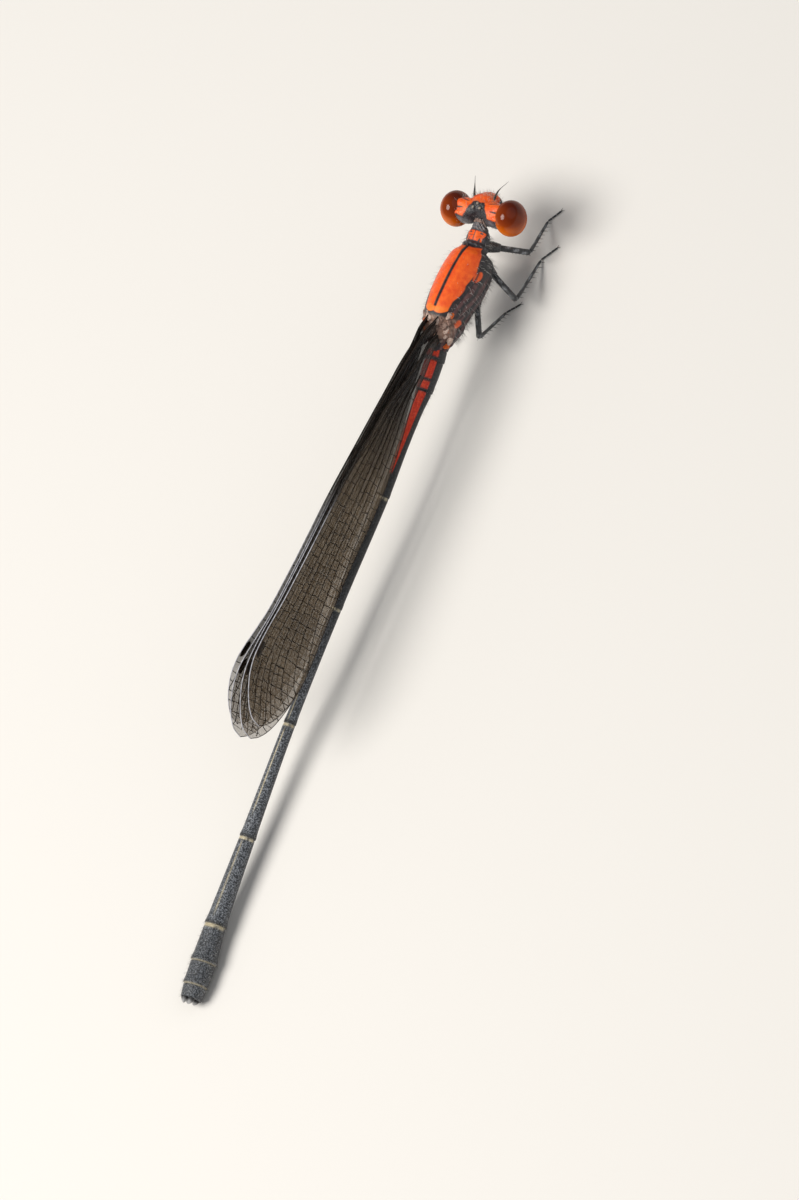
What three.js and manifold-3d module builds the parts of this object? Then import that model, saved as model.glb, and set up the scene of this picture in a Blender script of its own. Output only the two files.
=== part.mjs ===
// A male threadtail damselfly at life size, standing with its wings closed over its back.
// Millimetres, +Z up. The head faces -Y, the animal's left side is +X, and the feet and the
// tail tip stand on z = 0. The group is shifted at the end so that its origin is the middle
// of its bounding box at floor level.
import * as THREE from "three";
import { mergeVertices } from "three/addons/utils/BufferGeometryUtils.js";
import Module from "manifold-3d";

const wasm = await Module();
wasm.setup();

// Gap kept between neighbouring nodes.
const GAP = 0.15;

// The body's long axis drops towards the tail by this angle, so the tail tip reaches the floor.
const BODY_INCLINE = THREE.MathUtils.degToRad(4.5);

// Head: the middle between the eyes, its turn to the left, and the eyes.
const HEAD_AT = new THREE.Vector3(0, -3.52, 3.7);
const HEAD_TURN = THREE.MathUtils.degToRad(2.9);
const EYE_SPACING = 1.47;
const EYE_RADII = [0.7, 0.84, 0.92];

// Antennae: root on the forehead and tip, in the head's own frame, for the left side.
const ANTENNA_ROOT = [0.48, -0.5, 0.34];
const ANTENNA_ELBOW = [0.62, -1.02, 0.5];
const ANTENNA_TIP = [0.9, -1.62, 0.36];
const ANTENNA_RADII = [0.2, 0.17, 0.07];
const ANTENNA_SIDES = 8;

// Prothorax stations from neck to collar: y, middle z, half width, half height.
const PROTHORAX_STATIONS = [
  [-3.02, 3.42, 0.2, 0.24],
  [-2.82, 3.36, 0.24, 0.28],
  [-2.68, 3.3, 0.5, 0.42],
  [-2.36, 3.22, 0.6, 0.52],
  [-2.12, 3.22, 0.56, 0.5],
  [-2.02, 3.26, 0.7, 0.6],
  [-1.9, 3.28, 0.66, 0.58],
];

// Thorax stations from the collar to the waist: y, middle z, half width, half height.
const THORAX_STATIONS = [
  [-1.74, 3.36, 0.66, 0.6],
  [-1.54, 3.3, 0.94, 0.9],
  [-1.1, 3.24, 1.1, 1.14],
  [-0.5, 3.22, 1.18, 1.28],
  [0.3, 3.28, 1.18, 1.3],
  [1.1, 3.38, 1.1, 1.22],
  [1.8, 3.36, 0.98, 1.08],
  [2.45, 3.16, 0.8, 0.86],
  [2.92, 2.96, 0.56, 0.58],
];
// How far the top of each thorax section lies behind its foot, for each millimetre of height.
const THORAX_SKEW = 0.34;

// Abdomen joints from the waist to the tail: x, y, z and half width there.
const ABDOMEN_JOINTS = [
  { x: 0, y: 3.08, z: 2.85, r: 0.44 },
  { x: 0, y: 3.67, z: 2.78, r: 0.45 },
  { x: 0, y: 5.16, z: 2.6, r: 0.38 },
  { x: 0, y: 10.47, z: 2.38, r: 0.28 },
  { x: 0.28, y: 16.08, z: 2.06, r: 0.28 },
  { x: 0.48, y: 21.85, z: 1.64, r: 0.29 },
  { x: 0.54, y: 27.46, z: 1.16, r: 0.37 },
  { x: 0.56, y: 31.78, z: 0.8, r: 0.5 },
  { x: 0.5, y: 33.56, z: 0.63, r: 0.6 },
  { x: 0.45, y: 34.71, z: 0.6, r: 0.57 },
  { x: 0.42, y: 35.31, z: 0.58, r: 0.5 },
];
// Each length of the abdomen: its node, and the joints where it starts and ends.
const ABDOMEN_LENGTHS = [
  ["abdomen_1_2", 0, 2],
  ["abdomen_3", 2, 3],
  ["abdomen_4", 3, 4],
  ["abdomen_5", 4, 5],
  ["abdomen_6", 5, 6],
  ["abdomen_7", 6, 7],
  ["abdomen_8_10", 7, 10],
];
// How much a segment swells at its hind joint, and how long that swelling is.
const JOINT_SWELL = 1.1;
const JOINT_SWELL_LENGTH = 0.4;
// The longest part of a short segment that the swelling takes, and the straight rim behind it.
const JOINT_SWELL_SHARE = 0.3;
const JOINT_RIM = 0.02;
const ABDOMEN_SIDES = 14;

// The two claspers at the tail: how far out, ahead of and above the last joint each starts,
// where its tip lies, and its radii.
const CLASPER_ROOT = [0.24, -0.3, 0.1];
const CLASPER_TIP = [0.3, 0.5, -0.02];
const CLASPER_RADII = [0.2, 0.12];

// Wings: where the wing roots lie, the length from there, how the closed stack leans to the left,
// the plate's thickness at root and tip, and the gap between two plates.
const WING_ROOT = new THREE.Vector3(0, 2.0, 4.36);
// rootSide is how far a root lies from the middle line and rootDrop how far below the root line.
const FORE_WING = { start: -0.35, length: 22.0, rootSide: 0.27, rootDrop: 0, spot: [0.85, 0.885] };
const HIND_WING = { start: 0.45, length: 20.6, rootSide: 0.78, rootDrop: 0.45, spot: [0.825, 0.865] };
const WING_LEAN = THREE.MathUtils.degToRad(14);
// A plate stands higher the further to the right it is, by this share of its distance.
const WING_STAGGER = 0.56;
// Left wings' trailing edges follow only this much of it, to clear the abdomen.
const TRAILING_SHARE = 0.3;
const WING_THICKNESS = 0.42;
const WING_TIP_THICKNESS = 0.2;
const WING_GAP = 0.26;
// Main veins, as fractions of the wing's width from the leading edge, and their raised ridge.
const VEINS = [0.15, 0.31, 0.48, 0.65, 0.83];
const VEIN_HALF_WIDTH = 0.022;
const VEIN_HEIGHT = 0.045;
// The cross vein at the nodus, as a fraction of the wing's length, and the half width of its ridge.
const NODUS = 0.375;
const NODUS_HALF_WIDTH = 0.006;
// How gently the wing spot's ridge starts and ends, as a fraction of the wing's length.
const SPOT_SLOPE = 0.005;
// Outline of a closed wing: height over the root line at fractions of its length.
const LEADING_EDGE = [
  [0, 0.28], [0.17, 0.98], [0.3, 1.53], [0.45, 2.16], [0.6, 2.68], [0.72, 3.13],
  [0.8, 3.5], [0.86, 3.68], [0.92, 3.43], [0.96, 3.02], [0.985, 2.5], [1, 1.98],
];
const TRAILING_EDGE = [
  [0, -0.22], [0.08, 0.04], [0.17, 0.17], [0.28, 0.08], [0.38, -0.16], [0.48, -0.32],
  [0.6, -0.18], [0.73, 0.1], [0.86, 0.28], [0.92, 0.62], [0.965, 1.14], [1, 1.78],
];
const WING_STEPS_ALONG = 17;
// Two grid lines of a wing lie at least this far apart along it, and the last ends just short of 1.
const WING_STEP_LEAST = 0.012;
const WING_END = 0.999;

// Where a wing leaves its root side for its place in the stack, and where it has settled on it,
// as fractions of its length.
const WING_STACKED = 0.13;
const WING_SETTLED = 0.25;

// Legs: hip, knee, ankle and toe of each.
const LEGS = {
  leg_fore_right: [[-0.2, -2.3, 2.75], [-1.83, -2.85, 1.6], [-1.19, -4.98, 0.18], [-1.62, -5.61, 0.1]],
  leg_mid_right: [[-0.3, -1.5, 2.5], [-2.18, -0.44, 1.7], [-1.64, -3.09, 0.18], [-2.18, -3.84, 0.1]],
  leg_hind_right: [[-0.35, -0.2, 2.3], [-1.54, 1.95, 2.4], [-0.98, -0.22, 0.18], [-1.49, -0.76, 0.1]],
  leg_fore_left: [[0.2, -2.3, 2.75], [1.5, -2.5, 1.5], [1.75, -3.3, 0.18], [2.1, -3.95, 0.1]],
  leg_mid_left: [[0.3, -1.05, 2.5], [1.75, -0.7, 1.7], [2.15, -1.75, 0.18], [2.5, -2.4, 0.1]],
  leg_hind_left: [[0.35, 0.3, 2.4], [1.7, 1.5, 1.9], [2.35, 0.9, 0.18], [2.75, 0.3, 0.1]],
};
const HIP_RADIUS = 0.34;
const THIGH_RADIUS = 0.25;
const SHIN_RADIUS = 0.22;
const ANKLE_RADIUS = 0.2;
const TOE_RADIUS = 0.13;
const LEG_SIDES = 8;
// The thick hip ends at this share of the thigh, and the foot starts this share before the ankle.
const HIP_SHARE = 0.35;
const HEEL_SHARE = 0.15;
const HEEL_RADIUS = 0.16;
// The knee ball stands this much proud of the thigh.
const KNEE_PROUD = 0.01;

const group = new THREE.Group();

// Adds a named mesh with its own material.
function part(name, geometry, color, roughness) {
  const material = new THREE.MeshStandardMaterial({ color, roughness, metalness: 0 });
  const mesh = new THREE.Mesh(geometry, material);
  mesh.name = name;
  group.add(mesh);
}

// A closed geometry from triangles over shared points.
function meshFrom(points, faces) {
  const geometry = new THREE.BufferGeometry();
  geometry.setAttribute("position", new THREE.Float32BufferAttribute(points.flat(), 3));
  geometry.setIndex(faces.flat());
  return geometry;
}

// Joins rings of equal count into a closed skin, with a fan over each end.
function loft(rings) {
  const count = rings[0].length;
  const points = rings.flat();
  const faces = [];
  for (let i = 0; i + 1 < rings.length; i++) {
    for (let j = 0; j < count; j++) {
      const a = i * count + j;
      const b = i * count + ((j + 1) % count);
      faces.push([a, b, b + count], [a, b + count, a + count]);
    }
  }
  const ends = [[rings[0], 0, true], [rings.at(-1), (rings.length - 1) * count, false]];
  for (const [ring, first, turned] of ends) {
    const middle = points.length;
    points.push([0, 1, 2].map((k) => ring.reduce((sum, p) => sum + p[k], 0) / count));
    for (let j = 0; j < count; j++) {
      const a = first + j;
      const b = first + ((j + 1) % count);
      faces.push(turned ? [middle, b, a] : [middle, a, b]);
    }
  }
  return meshFrom(points, faces);
}

// A geometry as a solid, turned right side out.
function solid(geometry) {
  const bare = geometry.clone();
  bare.deleteAttribute("normal");
  bare.deleteAttribute("uv");
  const merged = mergeVertices(bare, 1e-4);
  const vertices = merged.attributes.position.array;
  const faces = Uint32Array.from(merged.index.array);
  const build = () => {
    return new wasm.Manifold(new wasm.Mesh({ numProp: 3, vertProperties: vertices, triVerts: faces }));
  };
  let made = build();
  if (made.volume() < 0) {
    for (let i = 0; i < faces.length; i += 3) {
      [faces[i + 1], faces[i + 2]] = [faces[i + 2], faces[i + 1]];
    }
    made = build();
  }
  return made;
}

// The largest closed piece of a solid, as a geometry.
function geometryOf(made) {
  const pieces = made.decompose();
  const largest = pieces.reduce((best, piece) => (piece.volume() > best.volume() ? piece : best));
  const mesh = largest.getMesh();
  const geometry = new THREE.BufferGeometry();
  geometry.setAttribute("position", new THREE.BufferAttribute(mesh.vertProperties.slice(), 3));
  geometry.setIndex(new THREE.BufferAttribute(mesh.triVerts.slice(), 1));
  return geometry;
}

function union(solids) {
  return solids.reduce((sum, next) => sum.add(next));
}

// An ellipsoid with its poles up, grown by a gap on every side.
function ellipsoid([x, y, z], [rx, ry, rz], grow = 0, around = 18, up = 12) {
  const ball = new THREE.SphereGeometry(1, around, up);
  ball.rotateX(Math.PI / 2);
  ball.scale(rx + grow, ry + grow, rz + grow);
  ball.translate(x, y, z);
  return ball;
}

// Smooth interpolation of rows sorted by their first number: a cubic with the slopes of its neighbours.
function smooth(rows, x) {
  const last = rows.length - 1;
  let i = 0;
  while (i < last - 1 && x > rows[i + 1][0]) i++;
  const slope = (k) => {
    const low = rows[Math.max(k - 1, 0)];
    const high = rows[Math.min(k + 1, last)];
    return (high[1] - low[1]) / (high[0] - low[0]);
  };
  const span = rows[i + 1][0] - rows[i][0];
  const f = THREE.MathUtils.clamp((x - rows[i][0]) / span, 0, 1);
  const rise = rows[i + 1][1] - rows[i][1];
  const inSlope = slope(i) * span;
  const outSlope = slope(i + 1) * span;
  const square = 3 * rise - 2 * inSlope - outSlope;
  const cube = inSlope + outSlope - 2 * rise;
  return rows[i][1] + inSlope * f + square * f ** 2 + cube * f ** 3;
}

// A tube of round rings through points, each ring square to the path, kept above the lowest level.
function tube(points, radii, sides, lowest = 0) {
  const path = points.map((p) => new THREE.Vector3(...p));
  const side = new THREE.Vector3();
  const rings = path.map((at, i) => {
    const before = path[Math.max(i - 1, 0)];
    const after = path[Math.min(i + 1, path.length - 1)];
    const forward = after.clone().sub(before).normalize();
    if (i === 0) side.set(0, 0, 1).cross(forward).normalize();
    side.addScaledVector(forward, -side.dot(forward)).normalize();
    const up = forward.clone().cross(side);
    return Array.from({ length: sides }, (_, j) => {
      const angle = ((j + 0.5) / sides) * 2 * Math.PI;
      const p = at.clone();
      p.addScaledVector(side, radii[i] * Math.cos(angle)).addScaledVector(up, radii[i] * Math.sin(angle));
      return [p.x, p.y, Math.max(p.z, lowest)];
    });
  });
  return loft(rings);
}

// Sections along Y from stations of y, middle z, half width and half height.
// A fuller belly and a narrow back give each section the outline of an egg.
function bodyLoft(stations, { grow = 0, skew = 0, sides = 24, egg = 0.12 } = {}) {
  const rings = stations.map(([y, z, wide, high], i) => {
    const push = i === 0 ? -grow : i === stations.length - 1 ? grow : 0;
    return Array.from({ length: sides }, (_, j) => {
      const angle = (j / sides) * 2 * Math.PI;
      const up = Math.sin(angle);
      const x = (wide + grow) * Math.cos(angle) * (1 - egg * up);
      const rise = (high + grow) * up;
      return [x, y + push + skew * rise, z + rise];
    });
  });
  return loft(rings);
}

// The head capsule in its own frame: a bar between the eyes, forehead, face and chin.
const HEAD_FORMS = [
  [[0, 0.02, -0.1], [1.02, 0.54, 0.66]],
  [[0, -0.02, 0.46], [1.3, 0.5, 0.34]],
  [[0, 0.42, 0.05], [1.4, 0.24, 0.56]],
  [[0, -0.42, 0.26], [0.66, 0.46, 0.42]],
  [[0, -0.74, -0.02], [0.58, 0.34, 0.26]],
  [[0, -0.76, -0.38], [0.5, 0.34, 0.24]],
  [[0.4, -0.5, -0.46], [0.26, 0.34, 0.3]],
  [[-0.4, -0.5, -0.46], [0.26, 0.34, 0.3]],
  [[0, -0.18, -0.7], [0.46, 0.54, 0.26]],
  [[0, -0.12, 0.78], [0.1, 0.1, 0.09]],
  [[0.17, 0.08, 0.77], [0.1, 0.1, 0.09]],
  [[-0.17, 0.08, 0.77], [0.1, 0.1, 0.09]],
];

function inHeadFrame(geometry) {
  return geometry.rotateZ(HEAD_TURN).translate(HEAD_AT.x, HEAD_AT.y, HEAD_AT.z);
}

function eye(side, grow = 0) {
  return inHeadFrame(ellipsoid([side * EYE_SPACING, 0, 0], EYE_RADII, grow, 22, 14));
}

function headSolid(grow = 0) {
  return union(HEAD_FORMS.map(([at, radii]) => {
    const around = radii[0] > 0.2 ? 15 : 8;
    return solid(inHeadFrame(ellipsoid(at, radii, grow, around, around * 0.6)));
  }));
}

function prothoraxSolid(grow = 0) {
  return solid(bodyLoft(PROTHORAX_STATIONS, { grow, sides: 20, egg: 0.05 }));
}

// Knobs of the wing hinges on the hind part of the thorax's back.
const HINGE_KNOBS = [
  [[0.34, 1.55, 4.2], [0.3, 0.4, 0.26]],
  [[0.5, 2.35, 3.86], [0.28, 0.42, 0.28]],
  [[0.0, 2.1, 4.16], [0.24, 0.5, 0.26]],
];

function thoraxSolid(grow = 0) {
  const forms = [solid(bodyLoft(THORAX_STATIONS, { grow, skew: THORAX_SKEW, sides: 24 }))];
  for (const [[x, y, z], radii] of HINGE_KNOBS) {
    for (const side of x === 0 ? [1] : [1, -1]) {
      forms.push(solid(ellipsoid([side * x, y, z], radii, grow)));
    }
  }
  return union(forms);
}

// One length of the abdomen between joints, with a small gap at each end.
function abdomenLength(from, to) {
  const rings = [];
  for (let k = from; k < to; k++) {
    const a = ABDOMEN_JOINTS[k];
    const b = ABDOMEN_JOINTS[k + 1];
    const length = b.y - a.y;
    const start = k === from ? GAP / 2 : 0;
    const end = k === to - 1 ? GAP / 2 : 0;
    const swell = Math.min(JOINT_SWELL_LENGTH, JOINT_SWELL_SHARE * length);
    const rim = length - end - JOINT_RIM;
    const places = [[start, 1], [swell, 1], [length / 2, 1], [length - swell, 1], [rim, JOINT_SWELL]];
    for (const [along, scale] of places) {
      const f = along / length;
      const r = (a.r + (b.r - a.r) * f) * scale;
      const x = a.x + (b.x - a.x) * f;
      const z = a.z + (b.z - a.z) * f;
      rings.push(Array.from({ length: ABDOMEN_SIDES }, (_, j) => {
        const angle = ((j + 0.5) / ABDOMEN_SIDES) * 2 * Math.PI;
        return [x + r * Math.cos(angle), a.y + along, Math.max(z + r * Math.sin(angle), 0)];
      }));
    }
  }
  return loft(rings);
}

// Two short claspers at the tail.
function tailClaspers() {
  const { x, y, z } = ABDOMEN_JOINTS.at(-1);
  return [1, -1].map((side) => {
    const path = [CLASPER_ROOT, CLASPER_TIP].map(([out, back, up]) => [x + side * out, y + back, z + up]);
    return solid(tube(path, CLASPER_RADII, 8));
  });
}

// A point on the middle surface of a wing, or off it: t runs from root to tip, s from the
// leading to the trailing edge, and off is the height over the middle surface.
function wingPoint(wing, side, rank, t, s, off) {
  const along = wing.start + wing.length * t;
  const settle = THREE.MathUtils.smoothstep(t, 0, WING_SETTLED);
  const thick = wingThickness(t);
  const stackSide = rank * (thick + WING_GAP);
  const stacked = THREE.MathUtils.smoothstep(t, 0, WING_STACKED);
  const plane = side * THREE.MathUtils.lerp(wing.rootSide, stackSide, stacked);
  const across = plane + off;
  const drop = WING_STAGGER * plane * settle;
  const leading = smooth(LEADING_EDGE, t) - drop;
  const trailing = smooth(TRAILING_EDGE, t) - (side > 0 ? TRAILING_SHARE * drop : drop);
  const high = leading * (1 - s) + trailing * s - wing.rootDrop * (1 - settle);
  const lean = WING_LEAN * settle;
  const x = across * Math.cos(lean) + high * Math.sin(lean);
  const rise = high * Math.cos(lean) - across * Math.sin(lean);
  return [
    WING_ROOT.x + x,
    WING_ROOT.y + along * Math.cos(BODY_INCLINE) + rise * Math.sin(BODY_INCLINE),
    WING_ROOT.z - along * Math.sin(BODY_INCLINE) + rise * Math.cos(BODY_INCLINE),
  ];
}

function wingThickness(t) {
  return THREE.MathUtils.lerp(WING_THICKNESS, WING_TIP_THICKNESS, THREE.MathUtils.smoothstep(t, 0.7, 1));
}

// Where the grid lines of a wing lie along it, closer together towards the tip.
function wingRows(wing) {
  const even = Array.from({ length: WING_STEPS_ALONG + 1 }, (_, i) => {
    return Math.sin((((i / WING_STEPS_ALONG) * Math.PI) / 2) * WING_END);
  });
  const [spotStart, spotEnd] = wing.spot;
  const nodusRidge = [NODUS - NODUS_HALF_WIDTH, NODUS, NODUS + NODUS_HALF_WIDTH];
  const extra = [...nodusRidge, spotStart - SPOT_SLOPE, spotStart, spotEnd, spotEnd + SPOT_SLOPE];
  const clear = even.filter((t) => extra.every((e) => Math.abs(e - t) > WING_STEP_LEAST));
  return [...clear, ...extra].sort((a, b) => a - b);
}

// Grid lines across a wing: both edges, and three lines for each vein.
const WING_COLUMNS = [0, 0.03, ...VEINS.flatMap((v) => [v - VEIN_HALF_WIDTH, v, v + VEIN_HALF_WIDTH]), 1];

// How far the surface stands up at a grid point: on the leading edge, the veins, the nodus and the wing spot.
function wingRelief(wing, t, s) {
  const onVein = s === 0 || VEINS.includes(s);
  const onNodus = t === NODUS && s < VEINS[1];
  const onSpot = t >= wing.spot[0] && t <= wing.spot[1] && s < VEINS[0];
  return onVein || onNodus || onSpot ? VEIN_HEIGHT : 0;
}

// Both faces of a wing share one grid, and a rim closes them.
function wingPlate(wing, side, rank) {
  const rows = wingRows(wing);
  const points = [];
  for (const face of [1, -1]) {
    for (const t of rows) {
      for (const s of WING_COLUMNS) {
        const off = wingThickness(t) / 2 + wingRelief(wing, t, s);
        points.push(wingPoint(wing, side, rank, t, s, face * off));
      }
    }
  }
  const lastRow = rows.length - 1;
  const lastColumn = WING_COLUMNS.length - 1;
  const at = (face, i, j) => (face * rows.length + i) * WING_COLUMNS.length + j;
  const faces = [];
  const quad = (a, b, c, d) => faces.push([a, b, c], [a, c, d]);
  for (let i = 0; i < lastRow; i++) {
    for (let j = 0; j < lastColumn; j++) {
      quad(at(0, i, j), at(0, i + 1, j), at(0, i + 1, j + 1), at(0, i, j + 1));
      faces.push([at(1, i, j), at(1, i + 1, j + 1), at(1, i + 1, j)]);
      faces.push([at(1, i, j), at(1, i, j + 1), at(1, i + 1, j + 1)]);
    }
    quad(at(0, i, 0), at(1, i, 0), at(1, i + 1, 0), at(0, i + 1, 0));
    quad(at(0, i, lastColumn), at(0, i + 1, lastColumn), at(1, i + 1, lastColumn), at(1, i, lastColumn));
  }
  for (let j = 0; j < lastColumn; j++) {
    quad(at(0, 0, j), at(0, 0, j + 1), at(1, 0, j + 1), at(1, 0, j));
    quad(at(0, lastRow, j), at(1, lastRow, j), at(1, lastRow, j + 1), at(0, lastRow, j + 1));
  }
  return meshFrom(points, faces);
}

// A leg: a stout hip, thigh, round knee, shin and a foot that lies flat on the floor.
function legSolid([hip, knee, ankle, toe]) {
  const between = (a, b, f) => a.map((v, k) => v + (b[k] - v) * f);
  const hipEnd = between(hip, knee, HIP_SHARE);
  const heel = between(ankle, toe, -HEEL_SHARE);
  const thigh = tube([hip, hipEnd, knee], [HIP_RADIUS, THIGH_RADIUS, THIGH_RADIUS], LEG_SIDES);
  const kneeBall = ellipsoid(knee, [THIGH_RADIUS, THIGH_RADIUS, THIGH_RADIUS], KNEE_PROUD, LEG_SIDES, 6);
  const shin = tube([knee, ankle], [SHIN_RADIUS, ANKLE_RADIUS], LEG_SIDES);
  const foot = tube([heel, ankle, toe], [HEEL_RADIUS, ANKLE_RADIUS, TOE_RADIUS], LEG_SIDES);
  return union([thigh, kneeBall, shin, foot].map(solid));
}

const ORANGE = 0xe2451a;
const BLACK = 0x17171b;
const EYE_RED = 0x8a2410;
const WING_BROWN = 0x4a3d33;

const headForms = headSolid().subtract(prothoraxSolid(GAP));
part("head", geometryOf(headForms), ORANGE, 0.5);
const headShellGrown = headSolid(GAP);
for (const [name, side] of [["eye_left", 1], ["eye_right", -1]]) {
  part(name, geometryOf(solid(eye(side)).subtract(headShellGrown)), EYE_RED, 0.15);
}

const headGrown = union([headShellGrown, solid(eye(1, GAP)), solid(eye(-1, GAP))]);
for (const [name, side] of [["antenna_left", 1], ["antenna_right", -1]]) {
  const path = [ANTENNA_ROOT, ANTENNA_ELBOW, ANTENNA_TIP].map(([x, y, z]) => [side * x, y, z]);
  const feeler = solid(inHeadFrame(tube(path, ANTENNA_RADII, ANTENNA_SIDES, -HEAD_AT.z)));
  part(name, geometryOf(feeler.subtract(headGrown)), BLACK, 0.4);
}

const prothorax = prothoraxSolid();
part("prothorax", geometryOf(prothorax), ORANGE, 0.5);

const thorax = thoraxSolid();
part("thorax", geometryOf(thorax), ORANGE, 0.5);
const trunkGrown = union([thoraxSolid(GAP), prothoraxSolid(GAP)]);

const lastJoint = ABDOMEN_JOINTS.length - 1;
for (const [name, from, to] of ABDOMEN_LENGTHS) {
  let made = solid(abdomenLength(from, to));
  if (from === 0) made = made.subtract(trunkGrown);
  if (to === lastJoint) made = union([made, ...tailClaspers()]);
  part(name, geometryOf(made), BLACK, 0.5);
}

const WINGS = [
  ["wing_fore_left", FORE_WING, 1, 0.5],
  ["wing_fore_right", FORE_WING, -1, 0.5],
  ["wing_hind_left", HIND_WING, 1, 1.5],
  ["wing_hind_right", HIND_WING, -1, 1.5],
];
for (const [name, wing, side, rank] of WINGS) {
  const plate = solid(wingPlate(wing, side, rank));
  part(name, geometryOf(plate.subtract(trunkGrown)), WING_BROWN, 0.4);
}

for (const [name, joints] of Object.entries(LEGS)) {
  part(name, geometryOf(legSolid(joints).subtract(trunkGrown)), BLACK, 0.5);
}

// The origin goes to the middle of the bounding box, at floor level.
const box = new THREE.Box3().setFromObject(group);
group.position.set(-(box.min.x + box.max.x) / 2, -(box.min.y + box.max.y) / 2, 0);
group.updateMatrixWorld(true);

export default group;
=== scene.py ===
import bpy
import numpy as np
from mathutils import Matrix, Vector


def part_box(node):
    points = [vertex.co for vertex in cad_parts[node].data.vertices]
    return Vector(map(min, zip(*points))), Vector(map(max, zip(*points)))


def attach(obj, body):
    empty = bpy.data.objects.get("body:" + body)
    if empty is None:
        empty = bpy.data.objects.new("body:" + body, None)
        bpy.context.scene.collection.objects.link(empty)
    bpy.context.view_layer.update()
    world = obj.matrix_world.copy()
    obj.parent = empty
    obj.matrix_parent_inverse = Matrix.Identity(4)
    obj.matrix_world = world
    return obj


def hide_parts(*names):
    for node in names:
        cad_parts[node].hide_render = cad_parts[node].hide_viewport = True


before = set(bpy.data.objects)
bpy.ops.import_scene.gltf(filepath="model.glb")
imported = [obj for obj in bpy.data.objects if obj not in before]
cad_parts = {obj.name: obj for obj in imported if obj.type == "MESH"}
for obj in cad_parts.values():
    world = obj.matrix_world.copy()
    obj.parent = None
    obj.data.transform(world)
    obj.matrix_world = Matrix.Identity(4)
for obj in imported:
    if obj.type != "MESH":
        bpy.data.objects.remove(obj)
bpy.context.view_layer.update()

# Viewpoint
# The model is worked out in millimetres from the middle of the thorax: head towards -Y, the animal's
# left towards +X, floor at z 0. A long lens looks down on its right side, turned so that the body
# runs from the upper right to the lower left of an upright picture.
MM = 0.001
FRONT_OF_SEGMENT_4 = 10.545
thorax_low, thorax_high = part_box("thorax")
segment_4_low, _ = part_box("abdomen_4")
ORIGIN = np.array([(thorax_low[0] + thorax_high[0]) / 2, segment_4_low[1] - FRONT_OF_SEGMENT_4 * MM, 0.0])
THORAX_MIDDLE = np.array([0.0, 0.0, 3.35])
BODY_INCLINE = np.radians(4.5)
VIEW_ROLL = np.radians(31.0)
VIEW_TILT = np.radians(9.0)
PICTURE_LEAN = np.radians(19.92)
PICTURE_HEIGHT = 55.4
PICTURE_MIDDLE = (-2.73, -14.55)
CAMERA_DISTANCE = 700.0
SENSOR = 36.0

ahead = np.array([0.0, -np.cos(BODY_INCLINE), np.sin(BODY_INCLINE)])
back_up = np.array([0.0, np.sin(BODY_INCLINE), np.cos(BODY_INCLINE)])
rightwards = np.array([-1.0, 0.0, 0.0])
to_camera = (
    np.cos(VIEW_TILT) * (np.cos(VIEW_ROLL) * back_up + np.sin(VIEW_ROLL) * rightwards)
    - np.sin(VIEW_TILT) * ahead
)
along = ahead - ahead.dot(to_camera) * to_camera
along /= np.linalg.norm(along)
aside = np.cross(along, to_camera)
picture_right = np.sin(PICTURE_LEAN) * along + np.cos(PICTURE_LEAN) * aside
picture_up = np.cos(PICTURE_LEAN) * along - np.sin(PICTURE_LEAN) * aside
aim = THORAX_MIDDLE + PICTURE_MIDDLE[0] * picture_right + PICTURE_MIDDLE[1] * picture_up

camera = bpy.data.objects.new("camera", bpy.data.cameras.new("camera"))
bpy.context.collection.objects.link(camera)
camera.data.sensor_width = SENSOR
camera.data.lens = SENSOR * CAMERA_DISTANCE / PICTURE_HEIGHT
camera.data.clip_start = 0.05
camera.data.clip_end = 20.0
eye_point = (aim + CAMERA_DISTANCE * to_camera) * MM + ORIGIN
turn = np.column_stack([picture_right, picture_up, to_camera])
camera.matrix_world = Matrix.Translation(eye_point) @ Matrix(turn.tolist()).to_4x4()
bpy.context.scene.camera = camera

# Table and lamps
# A plain pale table top of matt laminate, one key lamp that gives the eyes their highlight, a wide
# soft fill lamp over the head and a pale room round them.
TABLE_SIZE = 8.0
TABLE_COLOUR = (0.78, 0.76, 0.73, 1.0)
TABLE_ROUGHNESS = 0.7
ROOM_COLOUR = (0.80, 0.80, 0.80, 1.0)
ROOM_STRENGTH = 0.3


def lamp(name, direction, distance, size, power, colour):
    """A round lamp that faces the thorax from the given direction, sizes in millimetres."""
    light = bpy.data.lights.new(name, "AREA")
    light.shape = "DISK"
    light.energy = power
    light.size = size * MM
    light.color = colour
    holder = bpy.data.objects.new(name, light)
    bpy.context.collection.objects.link(holder)
    towards = np.array(direction) / np.linalg.norm(direction)
    sideways = np.cross([0.0, 1.0, 0.0], towards)
    sideways /= np.linalg.norm(sideways)
    axes = np.column_stack([sideways, np.cross(towards, sideways), towards])
    spot = (THORAX_MIDDLE + distance * towards) * MM + ORIGIN
    holder.matrix_world = Matrix.Translation(spot) @ Matrix(axes.tolist()).to_4x4()


lamp("key_lamp", (0.289, 0.424, 0.857), 300.0, 185.0, 0.98, (1.0, 0.97, 0.92))
lamp("fill_lamp", (-0.7, -0.4, 0.7), 520.0, 780.0, 0.5, (0.92, 0.95, 1.0))
room = bpy.data.worlds.new("room")
room.use_nodes = True
backdrop = room.node_tree.nodes["Background"]
backdrop.inputs["Color"].default_value = ROOM_COLOUR
backdrop.inputs["Strength"].default_value = ROOM_STRENGTH
bpy.context.scene.world = room
bpy.context.scene.view_settings.view_transform = "Standard"

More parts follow.
